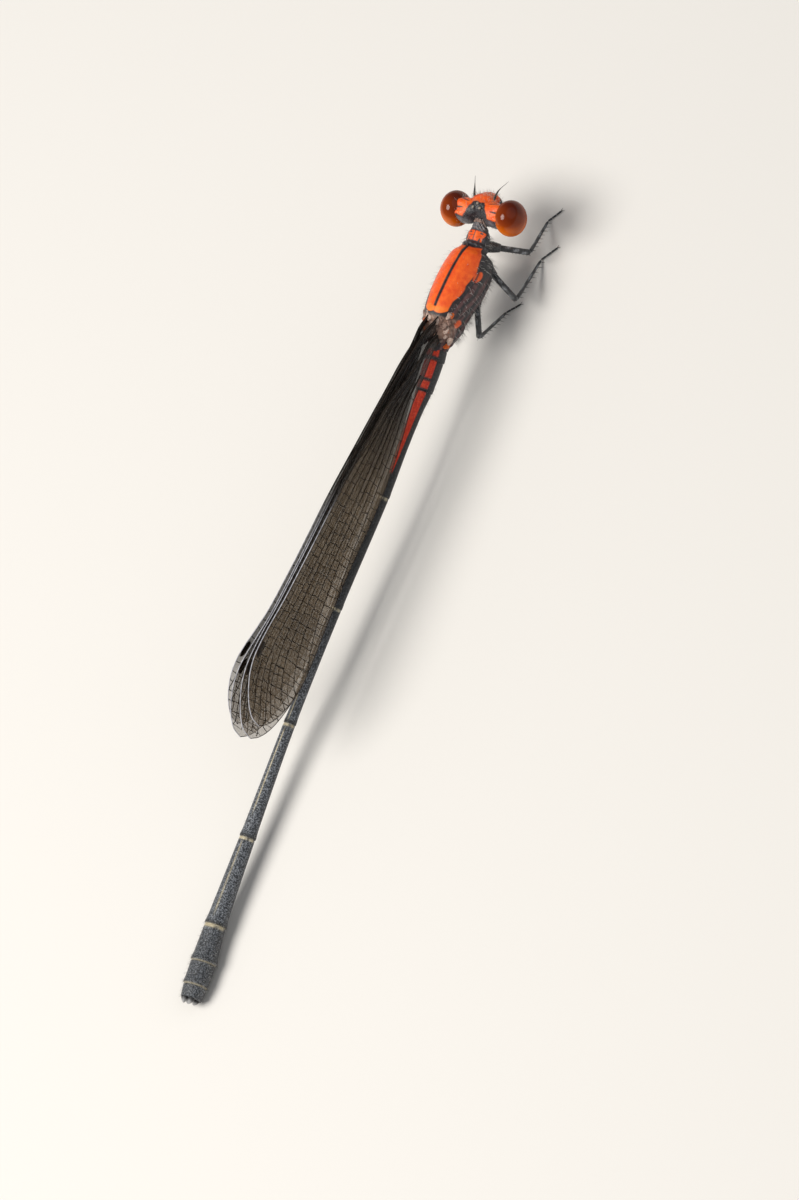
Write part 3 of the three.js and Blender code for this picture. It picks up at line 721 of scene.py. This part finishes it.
def wing_point(wing, side, t, s, off):
    """The place t of the way out from the root and s of the way from the front edge to the hind edge,
    off millimetres outwards from the wing's middle plane. The blade stands on edge, leans by
    WING_LEAN to the left, each wing's edges drop by WING_STAGGER of its distance from the middle, and
    the front edge rises by the wing's lead for that side. The root dips into the thorax by ROOT_SINK,
    and the tips of the left pair splay outwards by the wing's fan."""
    settle = ramp(t, 0.0, 0.25)
    plane = side * (wing["root_side"] + (wing["plane"] - wing["root_side"]) * ramp(t, 0.0, 0.13))
    splay = wing["fan"] * ramp(t, 0.74, 0.98) if side > 0 else 0.0
    across = plane + splay + side * off
    drop = WING_STAGGER * plane * settle
    leading = curve(LEADING_EDGE, t)[..., 0] - drop + wing["lead"][0 if side > 0 else 1] * settle
    trailing = curve(TRAILING_EDGE, t)[..., 0] - (TRAILING_SHARE * drop if side > 0 else drop)
    sink = wing["root_drop"] * (1 - settle) + ROOT_SINK * (1 - ramp(t, 0.0, 0.06))
    high = leading * (1 - s) + trailing * s - sink
    lean = WING_LEAN * settle
    reach = wing["start"] + wing["length"] * t
    rise = high * np.cos(lean) - across * np.sin(lean)
    return WING_ROOT + np.stack(
        [
            across * np.cos(lean) + high * np.sin(lean),
            reach * np.cos(BODY_INCLINE) + rise * np.sin(BODY_INCLINE),
            rise * np.cos(BODY_INCLINE) - reach * np.sin(BODY_INCLINE),
        ],
        -1,
    )


# The long veins, each as the s that it has at a few places t along the wing, front to hind.
LONG_VEINS = [
    [(0.0, 0.3), (0.1, 0.14), (0.3, 0.08), (NODUS, 0.0)],
    [(0.0, 0.4), (0.1, 0.28), (0.3, 0.17), (0.5, 0.12), (0.8, 0.09), (0.91, 0.1), (0.945, 0.0)],
    [(0.86, 0.16), (0.92, 0.17), (0.96, 0.2), (0.975, 0.16), (0.985, 0.0)],
    [(0.2, 0.3), (0.35, 0.26), (0.5, 0.24), (0.7, 0.22), (0.86, 0.24), (0.94, 0.34), (0.985, 0.5)],
    [(0.84, 0.31), (0.92, 0.43), (0.965, 0.6), (0.99, 0.85)],
    [(0.42, 0.26), (0.55, 0.33), (0.7, 0.35), (0.85, 0.4), (0.92, 0.52), (0.968, 0.8), (0.972, 1.0)],
    [(0.2, 0.36), (0.35, 0.4), (0.5, 0.44), (0.7, 0.47), (0.85, 0.56), (0.92, 0.78), (0.94, 1.0)],
    [(0.12, 0.5), (0.3, 0.52), (0.5, 0.56), (0.7, 0.61), (0.82, 0.72), (0.88, 0.86), (0.9, 1.0)],
    [(0.16, 0.55), (0.3, 0.63), (0.45, 0.68), (0.6, 0.73), (0.72, 0.8), (0.8, 0.9), (0.84, 1.0)],
    [(0.12, 0.7), (0.25, 0.76), (0.4, 0.81), (0.5, 0.86), (0.6, 0.93), (0.67, 1.0)],
]


def pleat(t, s):
    """How far the film stands off the wing's middle plane: a wave across the veins that dies out
    towards the hind edge and the tip."""
    return PLEAT * np.sin(s * 34.0) * (1 - ramp(s, 0.35, 0.9)) * (1 - ramp(t, 0.9, 1.0)) * ramp(t, 0.0, 0.1)


film, film_tree, film_place = new_material("wing_film")
cloud_node = add_node(film_tree, "ShaderNodeTexNoise", Scale=900.0, Detail=5.0, Vector=film_place)
film_cloud = cloud_node.outputs["Fac"]
film_ramp = add_node(film_tree, "ShaderNodeValToRGB", Fac=film_cloud)
film_ramp.color_ramp.elements[0].position = 0.3
film_ramp.color_ramp.elements[0].color = (0.15, 0.105, 0.062, 1.0)
film_ramp.color_ramp.elements[1].position = 0.7
film_ramp.color_ramp.elements[1].color = (0.235, 0.17, 0.104, 1.0)
film_rough = add_node(film_tree, "ShaderNodeMapRange", Value=film_cloud, To_Min=0.2, To_Max=0.4)
film_fine = add_node(film_tree, "ShaderNodeTexNoise", Scale=6000.0, Vector=film_place).outputs["Fac"]
film_bump = add_node(film_tree, "ShaderNodeBump", Strength=0.5, Distance=0.01 * MM, Height=film_fine)
# This mark darkens the film and makes it more opaque: its own tone towards the root, and painted shade
# along the front strip.
film_smoke_and_shade = attribute(film_tree, "smoke_and_shade")
film_veil = add_node(film_tree, "ShaderNodeMapRange", Value=film_smoke_and_shade, To_Min=0.33, To_Max=0.66)
feed(
    film_tree,
    film_tree.nodes["Principled BSDF"],
    Base_Color=mixed(film_tree, film_smoke_and_shade, film_ramp.outputs["Color"], (0.024, 0.021, 0.020)),
    Alpha=film_veil.outputs["Result"],
    Roughness=film_rough.outputs["Result"],
    Normal=film_bump.outputs["Normal"],
    Specular_IOR_Level=0.3,
)

for pair, wing in WINGS.items():
    for side, flank in ((1, "left"), (-1, "right")):
        along_film = 1 - (1 - np.linspace(0, 1, FILM_GRID[0])) ** TIP_CROWDING
        t, s = np.meshgrid(along_film, np.linspace(0, 1, FILM_GRID[1]), indexing="ij")
        sheet = pleat(t, s)
        upper = wing_point(wing, side, t, s, sheet + FILM_THICKNESS / 2)
        lower = wing_point(wing, side, t, s, sheet - FILM_THICKNESS / 2)
        near = pair == "hind" and side < 0
        # Painted shade along the front strip: strong on the three far wings, weak on the near hind right
        # one.
        shaded_front_strip = (1 - ramp(s, 0.07, 0.14)) * (1 - ramp(t, 0.82, 0.93))
        smoke_and_shade = np.maximum(1 - ramp(t, 0.12, 0.5), (0.3 if near else 0.95) * shaded_front_strip)
        make_piece(
            f"wing_film_{pair}_{flank}",
            [np.concatenate([upper, lower[:, ::-1]], axis=1)[None]],
            film,
            (f"wing_{pair}_{flank}",),
            {"smoke_and_shade": [np.concatenate([smoke_and_shade, smoke_and_shade[:, ::-1]], axis=1)[None]]},
        )

# Wing veins
# Hollow struts of dark cuticle that carry the film: a strong front edge whose outer half is painted
# pale as a highlight, ten long veins, the hind edge, staggered rows of cross struts, and a dark cell near
# the tip.
VEIN_SIDES = 6
HIND_EDGE_RADIUS = 0.018
LONG_RADIUS_AT_ROOT, LONG_RADIUS = 0.038, 0.02
COSTA_RADIUS = 0.032
PALE_EDGE_RADIUS = 0.021
CROSS_ROWS = 0.17 + 0.825 * (np.arange(31) / 31) ** 0.75
CROSS_RADIUS = {"fore": 0.013, "hind": 0.021}
ROW_STAGGER = 0.011
CELL_MIDDLE = 0.05
CELL_HALF_WIDTH = 0.036
CELL_HALF_DEPTH = 0.032
CELL_RINGS = 14
CELL_SIDES = 12
vein_draw = np.random.default_rng(5)
vein_finish = shell_finish(
    "vein_cuticle",
    ((0.006, 0.004, 0.003), (0.026, 0.017, 0.012)),
    # The pale layer here is a painted highlight on the outer half of the front edge.
    [("pale", ((0.34, 0.34, 0.38), (0.66, 0.66, 0.72)))],
    shine=(0.22, 0.36),
    specular=0.15,
)


def struts(wing, side, t, s, radius, sides=VEIN_SIDES):
    """Tubes on the wing's film along the places t[b, i], s[b, i]."""
    path = wing_point(wing, side, t, s, pleat(t, s))
    return tube(path, np.broadcast_to(radius, t.shape), sides, (1.0, 0.0, 0.0))


def crossings(rows):
    """For each row of cross struts and each strip in it, the s of the vein in front of the strip and of
    the vein behind it: the veins that reach that t are sorted by s, between the two edges of the wing.
    A strip that isn't there gets an s over one."""
    places = [np.zeros_like(rows)]
    for vein in LONG_VEINS:
        there = (rows > vein[0][0]) & (rows < vein[-1][0])
        places.append(np.where(there, np.clip(curve(vein, rows)[..., 0], 0.0, 1.0), 2.0))
    places = np.sort(np.stack([*places, np.ones_like(rows)], -1), axis=-1)
    strip = np.arange(rows.shape[1])
    return places[:, strip, strip], places[:, strip, strip + 1]


for pair, wing in WINGS.items():
    spot_start, spot_end = wing["spot"]
    for side, flank in ((1, "left"), (-1, "right")):
        t = 1 - (1 - np.linspace(0.0, 1.0, 220)[None]) ** TIP_CROWDING
        costa = COSTA_RADIUS + (PALE_EDGE_RADIUS - COSTA_RADIUS) * ramp(t, 0.4, 0.6)
        parts = [struts(wing, side, t, 0 * t, costa, 8), struts(wing, side, t, 0 * t + 1, HIND_EDGE_RADIUS)]
        # Outer half of the front edge painted pale: a painted highlight.
        pale = [ramp(t, 0.42, 0.62)[..., None], 0.0]
        for vein in LONG_VEINS:
            t = np.linspace(vein[0][0], vein[-1][0], 90)[None]
            s = np.clip(curve(vein, t)[..., 0], 0.0, 1.0)
            thick = LONG_RADIUS_AT_ROOT - (LONG_RADIUS_AT_ROOT - LONG_RADIUS) * ramp(t, 0.1, 0.5)
            parts.append(struts(wing, side, t, s, thick))
            pale.append(0.0)
        strips = len(LONG_VEINS) + 1
        rows = CROSS_ROWS[:, None] + vein_draw.uniform(-ROW_STAGGER, ROW_STAGGER, strips)
        rows = np.clip(rows + vein_draw.uniform(-0.003, 0.003, rows.shape), 0.0, 0.995)
        upper, lower = crossings(rows)
        slant = vein_draw.uniform(-0.003, 0.005, rows.shape)
        wanted = (lower <= 1.0) & (lower - upper > 0.02)
        share = np.linspace(0, 1, 4)
        t_line = rows[wanted][:, None] + slant[wanted][:, None] * share
        s_line = upper[wanted][:, None] + (lower - upper)[wanted][:, None] * share
        parts.append(struts(wing, side, np.minimum(t_line, 0.998), s_line, CROSS_RADIUS[pair], 4))
        pale.append(0.0)
        t = np.linspace(spot_start, spot_end, CELL_RINGS)[:, None] * np.ones(CELL_SIDES)
        blunt = np.sqrt(np.clip(1 - (2 * (t - spot_start) / (spot_end - spot_start) - 1) ** 4, 0.02, 1))
        round_cell = np.linspace(0, 2 * np.pi, CELL_SIDES, endpoint=False)
        s = CELL_MIDDLE + CELL_HALF_WIDTH * blunt * np.cos(round_cell)
        off = pleat(t, s) + CELL_HALF_DEPTH * blunt * np.sin(round_cell)
        parts.append(wing_point(wing, side, t, s, off)[None])
        pale.append(0.0)
        make_piece(f"wing_veins_{pair}_{flank}", parts, vein_finish, (), {"pale": pale})

# Abdomen skin
# Ten slim rings of cuticle telescoped into each other, black with a grey-blue bloom. The first three
# carry a red stripe, a cream ring marks each joint from the third on, and a cream line runs along the
# back. One continuous skin, swollen at each joint and pinched where the soft joint skin shows.
SEGMENT_ENDS = [3.08, 3.67, 5.16, 10.47, 16.08, 21.85, 27.46, 31.78, 33.56, 34.71, 35.31]
ABDOMEN_LINE = [
    (2.7, 0, 2.92, 0.4), (3.08, 0, 2.85, 0.44), (3.67, 0, 2.78, 0.45), (4.4, 0, 2.69, 0.44),
    (5.16, 0, 2.6, 0.38), (6.2, 0, 2.57, 0.3), (8.0, 0, 2.49, 0.26), (10.47, 0, 2.38, 0.27),
    (16.08, 0.28, 2.06, 0.27), (21.85, 0.48, 1.64, 0.28), (27.46, 0.54, 1.16, 0.37),
    (31.78, 0.56, 0.8, 0.5), (33.56, 0.5, 0.63, 0.59), (34.71, 0.45, 0.6, 0.56), (35.31, 0.42, 0.58, 0.5),
]
ABDOMEN_END = 35.34
ABDOMEN_SIDES = 80
STRIPE_PLACES = [3.1, 3.7, 4.8, 5.16, 5.3, 7.0, 8.6, 9.35]
STRIPE_DEGREES = [42, 50, 50, 46, 52, 45, 34, 26]
STRIPE_GAPS = ((3.6, 0.12), (4.62, 0.09), (5.16, 0.1))
BACK_LINE = [
    ((20.4, 20.6), (-21.8, -21.5), 1.0),
    ((22.0, 22.4), (-26.6, -25.6), 1.0),
    ((27.6, 27.8), (-31.6, -30.8), 0.6),
]
RING_STRENGTHS = (0.9, 0.9, 1.0, 1.0, 1.0)
near_joints = [np.linspace(end - 0.12, end + 0.16, 15) for end in SEGMENT_ENDS[:-1]]
rows = np.unique(np.concatenate([np.linspace(2.7, ABDOMEN_END, 540), *near_joints]))
rows = rows[rows <= ABDOMEN_END]
line = curve(ABDOMEN_LINE, np.minimum(rows, SEGMENT_ENDS[-1]))
centre = np.column_stack([line[:, 0], rows, line[:, 1]])
swell = np.zeros_like(rows)
pinch = np.zeros_like(rows)
for end in SEGMENT_ENDS[:-1]:
    swell += np.exp(-(((rows - end + 0.08) / 0.22) ** 2)) * (rows < end + 0.02)
    pinch += np.exp(-(((rows - end - 0.03) / 0.03) ** 2))
radius = np.minimum(line[:, 2] * (1 + 0.07 * swell - 0.07 * pinch), line[:, 1] - 0.001)
abdomen = tube(centre[None], radius[None], ABDOMEN_SIDES, (1.0, 0.0, 0.0))
row = rows[None, :, None] * np.ones((1, 1, ABDOMEN_SIDES))
offset = abdomen - centre[None, :, None]
turned = np.degrees(np.arctan2(offset[..., 0], offset[..., 2]))
off_back = np.abs(turned)
stripe_width = np.interp(rows, STRIPE_PLACES, STRIPE_DEGREES)[None, :, None]
red = ramp(stripe_width - off_back, 0.0, 4.0) * ramp(-row, -9.4, -9.2)
gaps = sum(np.exp(-(((row - at) / wide_gap) ** 4)) for at, wide_gap in STRIPE_GAPS)
red = red * (1 - np.clip(gaps, 0, 1)) * ramp(row, 3.1, 3.2)
break_in_ring = 1 - 0.75 * np.exp(-(((turned + 38) / 16) ** 2))
cream = sum(
    np.exp(-(((row - end - 0.09) / 0.07) ** 4)) * strength * break_in_ring
    for end, strength in zip(SEGMENT_ENDS[3:8], RING_STRENGTHS)
)
cream = cream * (1 - ramp(off_back, 75, 100))
fine_ring = sum(np.exp(-(((row - end - 0.02) / 0.035) ** 2)) for end in SEGMENT_ENDS[7:10])
fine_ring = fine_ring * (1 - ramp(off_back, 100, 140))
dashes = sum(ramp(row, *front) * ramp(-row, *back) * strength for front, back, strength in BACK_LINE)
back_line = (1 - ramp(off_back, 3.0, 6.5)) * (0.85 + 0.15 * np.sin(9 * row)) * dashes
cream = np.clip(cream + 0.55 * fine_ring + back_line, 0, 1)
joint_dark = sum(np.exp(-(((row - end + 0.06) / 0.1) ** 2)) for end in SEGMENT_ENDS[3:8])
bloom = ramp(row, 14.0, 21.0) * (0.7 - 0.3 * ramp(off_back, 60, 120))
bloom = bloom * (1 - 0.35 * ramp(row, 31.6, 32.4)) * (1 - np.clip(joint_dark, 0, 1)) + 0.1
abdomen_finish = shell_finish(
    "abdomen_cuticle",
    ((0.006, 0.007, 0.007), (0.020, 0.020, 0.022)),
    [
        ("bloom", ((0.016, 0.020, 0.027), (0.38, 0.41, 0.46))),
        ("red", ((0.58, 0.022, 0.003), (0.88, 0.075, 0.008))),
        ("cream", ((0.48, 0.41, 0.27), (0.74, 0.68, 0.50))),
    ],
    grain=15000.0,
    fine=40000.0,
    contrast=(0.44, 0.72),
    shine=(0.28, 0.5),
)
abdomen_nodes = ("abdomen_1_2", *(f"abdomen_{n}" for n in range(3, 8)), "abdomen_8_10")
abdomen_marks = {"bloom": [bloom], "red": [red], "cream": [cream]}
make_piece("abdomen_skin", [abdomen], abdomen_finish, abdomen_nodes, abdomen_marks)

# Claspers
# Two upper and two lower hooked prongs at the end of the last ring, grey-tipped and hard. Each is a
# short tube that swells, bends inwards and ends in a blunt point.
CLASPERS = [((0.2, 0.26), (-0.08, 0.02), 0.5, 0.13), ((0.2, -0.2), (-0.06, 0.06), 0.4, 0.13)]
CLASPER_ROOT = (0.42, 35.16, 0.58)
clasper_parts, clasper_bloom = [], []
for (out, up), (bend, tip_up), length, thick in CLASPERS:
    for side in (1, -1):
        share = np.linspace(0, 1, 14)
        aside_of_root = side * (out + bend * share**2)
        path = CLASPER_ROOT + np.column_stack([aside_of_root, length * share, up + tip_up * share])
        shape = thick * (0.8 + 0.5 * np.sin(np.pi * share) - 0.55 * share**3)
        clasper_parts.append(tube(path[None], shape[None], 12))
        clasper_bloom.append(ramp(share, 0.5, 0.9)[None, :, None])
clasper_finish = shell_finish(
    "clasper_cuticle",
    ((0.008, 0.008, 0.009), (0.03, 0.03, 0.033)),
    [("bloom", ((0.16, 0.16, 0.17), (0.5, 0.5, 0.5)))],
    shine=(0.3, 0.5),
)
make_piece("claspers", clasper_parts, clasper_finish, (), {"bloom": clasper_bloom})

# Legs
# Six slender legs of black cuticle with a grey bloom: hip, thigh, shin and a three-jointed foot with
# two claws, and two rows of stiff spines down thigh and shin. Each length is a tapered tube.
LEGS = {
    "fore_right": [(-0.2, -2.3, 2.75), (-1.83, -2.85, 1.6), (-1.19, -4.98, 0.1), (-1.62, -5.61, 0.06)],
    "mid_right": [(-0.3, -1.5, 2.5), (-2.18, -0.44, 1.7), (-1.64, -3.09, 0.1), (-2.18, -3.84, 0.06)],
    "hind_right": [(-0.35, -0.2, 2.3), (-1.54, 1.95, 2.4), (-0.98, -0.22, 0.1), (-1.49, -0.76, 0.06)],
    "fore_left": [(0.2, -2.3, 2.75), (1.5, -2.5, 1.5), (1.75, -3.3, 0.1), (2.1, -3.95, 0.06)],
    "mid_left": [(0.3, -1.05, 2.5), (1.75, -0.7, 1.7), (2.15, -1.75, 0.1), (2.5, -2.4, 0.06)],
    "hind_left": [(0.35, 0.3, 2.4), (1.7, 1.5, 1.9), (2.35, 0.9, 0.1), (2.75, 0.3, 0.06)],
}
THIGH_RADIUS = 0.14
SHIN_RADIUS = 0.08
FOOT_RADIUS = 0.05
SPINES_A_ROW = 8
SPINE_RADII = [0.018, 0.015, 0.01, 0.002]
LIMB_GRID = (24, 16)
leg_draw = np.random.default_rng(3)
leg_finish = shell_finish(
    "leg_cuticle",
    ((0.006, 0.006, 0.007), (0.022, 0.022, 0.024)),
    [("bloom", ((0.10, 0.11, 0.12), (0.50, 0.52, 0.56)))],
    grain=14000.0,
    shine=(0.3, 0.5),
)


def limb(start, end, radii, steps=LIMB_GRID[0], sides=LIMB_GRID[1]):
    """A straight length from start to end whose radius follows radii, with rounded ends."""
    share = np.linspace(0, 1, steps)
    path = start + (end - start) * share[:, None]
    rounding = np.sqrt(np.clip(1 - (2 * share - 1) ** 18, 0.03, 1))
    thick = np.interp(share, np.linspace(0, 1, len(radii)), radii) * rounding
    return tube(path[None], thick[None], sides)


for name, joints in LEGS.items():
    hip, knee, ankle, toe = (np.array(joint) for joint in joints)
    down = unit(knee - hip)
    parts = [
        limb(hip, hip + 0.35 * (knee - hip), [0.3, 0.26, 0.19]),
        limb(
            hip + 0.28 * (knee - hip),
            knee + 0.05 * down,
            [0.16, THIGH_RADIUS, THIGH_RADIUS, 0.135, 0.15],
        ),
        limb(knee, ankle, [0.11, SHIN_RADIUS, SHIN_RADIUS, 0.07, 0.06]),
    ]
    foot = [ankle + (toe - ankle) * share for share in (0.0, 0.3, 0.62, 1.0)]
    for start, end in zip(foot[:-1], foot[1:]):
        parts.append(limb(start, end, [FOOT_RADIUS, 0.04, FOOT_RADIUS], 10, 10))
    ring, spoke = np.mgrid[: LIMB_GRID[0], : LIMB_GRID[1]]
    dusted = 0.07 + 0.6 * ramp(np.sin(0.55 * ring + 1) * np.sin(0.8 * spoke + 0.3 * ring), 0.3, 0.8)
    bloom = [0.15, dusted[None], dusted[None], 0.08, 0.08, 0.08]
    thigh_start = hip + 0.35 * (knee - hip)
    for start, end, thick, longest in ((thigh_start, knee, 0.12, 0.2), (knee, ankle, 0.07, 0.3)):
        share = (np.arange(SPINES_A_ROW) + 0.5) / SPINES_A_ROW
        bone = unit(end - start)
        outward = unit(np.cross(bone, [0.0, 0.0, 1.0]))
        below = unit(np.cross(bone, outward))
        below = below * (1 if below[2] < 0 else -1)
        for row_side in (1, -1):
            aim_out = unit(0.75 * row_side * outward + 0.6 * below + 0.75 * bone)
            base = start + (end - start) * share[:, None]
            reach = longest * leg_draw.uniform(0.75, 1.0, SPINES_A_ROW)[:, None, None]
            line_share = np.linspace(0, 1, 4)[:, None]
            paths = base[:, None] + (thick * 0.6) * aim_out + reach * line_share * aim_out
            paths[..., 2] = np.maximum(paths[..., 2], 0.03)
            parts.append(tube(paths, np.broadcast_to(SPINE_RADII, (SPINES_A_ROW, 4)), 4))
            bloom.append(0.0)
    forward = unit(toe - ankle)
    sideways = unit(np.cross(forward, [0.0, 0.0, 1.0]))
    for claw_side in (1, -1):
        share = np.linspace(0, 1, 8)[:, None]
        path = toe + forward * 0.14 * share + sideways * claw_side * 0.09 * share
        path = path + [0, 0, 0.02] * np.sin(np.pi * share)
        parts.append(tube(path[None], np.linspace(0.022, 0.003, 8)[None], 6))
        bloom.append(0.0)
    make_piece(f"leg_shell_{name}", parts, leg_finish, (f"leg_{name}",), {"bloom": bloom})

# Hair
# Short stiff bristles on the brow, the sides and belly of the thorax and the last rings of the
# abdomen: hollow rods of pale cuticle set in sockets. Each is a three-sided spike that bends along
# its lie, and its patch of the OFBake map lies at its root's place on the grid of the skin.
PATCH = 0.003
hair_finish = shell_finish(
    "hair_cuticle",
    ((0.14, 0.13, 0.12), (0.40, 0.38, 0.36)),
    [("tip", ((0.55, 0.54, 0.52), (0.80, 0.79, 0.77)))],
    shine=(0.35, 0.55),
)


def hair_coat(name, surface, weight, count, longest, lie, thickness, seed):
    """Spikes on the grid surface[i, j], which closes in j. Roots are drawn by weight. Each spike starts
    just under the skin and bends from the outward normal towards the direction lie."""
    draw = np.random.default_rng(seed)
    share = weight.ravel() / weight.sum()
    i, j = np.unravel_index(draw.choice(weight.size, count, p=share, replace=False), weight.shape)
    down = np.gradient(surface, axis=0)
    across = np.roll(surface, -1, axis=1) - np.roll(surface, 1, axis=1)
    normal = unit(np.cross(down, across))
    outward = surface - surface.mean(axis=1, keepdims=True)
    normal = (normal * np.where((normal * outward).sum(axis=-1, keepdims=True) < 0, -1.0, 1.0))[i, j]
    heading = unit(normal + 0.25 * draw.normal(size=(count, 3)))
    reach = longest * draw.uniform(0.45, 1.0, count)[:, None, None]
    s = np.linspace(0, 1, 5)[:, None]
    bend = unit(np.asarray(lie, float))
    paths = surface[i, j][:, None] - 0.02 * normal[:, None]
    paths = paths + reach * s * heading[:, None] + 0.45 * reach * s**2 * bend
    paths[..., 2] = np.maximum(paths[..., 2], 0.02)
    radii = thickness * np.array([1.0, 0.9, 0.7, 0.45, 0.1])
    turn = np.linspace(0, 2 * np.pi, 3, endpoint=False)
    root = np.stack([j / weight.shape[1], i / weight.shape[0]], -1)[:, None, None]
    place = root + PATCH * np.stack(np.broadcast_arrays(0.5 * np.cos(turn)[None, :], s - 0.5), -1)[None]
    make_piece(
        name,
        [tube(paths, np.broadcast_to(radii, (count, 5)), 3)],
        hair_finish,
        (),
        {"tip": [np.broadcast_to(s, (count, 5, 3))]},
        [place],
    )


thorax_hairy = 0.3 * ramp(off_middle, 45, 70) + ramp(off_middle, 96, 124)
thorax_hairy = thorax_hairy + 0.5 * blob(off_middle, station, (112, 1.7), (26, 0.6))
thorax_hairy = thorax_hairy * ramp(station, -1.9, -1.5) + 0.05
thorax_hairy = thorax_hairy * ramp(station, -2.1, -1.8) * ramp(-station, -2.9, -2.5)
thorax_hairy = thorax_hairy + 0.4 * ramp(-station, 1.9, 2.1) * ramp(station, -2.7, -2.6)
hair_coat("thorax_hair", trunk, thorax_hairy, 1150, 0.36, (0, 0.9, -0.3), 0.0075, 21)
head_skin = head_to_model(head_points)
head_hairy = ramp(-y, 0.3, 0.6) * ramp(z, -0.7, -0.2) + 0.15 * above + 0.3 * ramp(y, 0.2, 0.5)
head_hairy = head_hairy * (1 - ramp(wide, 1.25, 1.4))
hair_coat("head_hair", head_skin, head_hairy, 260, 0.25, (0, -0.6, 0.6), 0.0065, 22)
tail_hairy = (ramp(row, 30.0, 33.5) + 0.25 * ramp(row, 3.0, 6.0) * ramp(-row, -8.0, -5.0) + 0.04)[0]
hair_coat("abdomen_hair", abdomen[0], tail_hairy, 900, 0.2, (0, 1.0, 0.0), 0.006, 23)
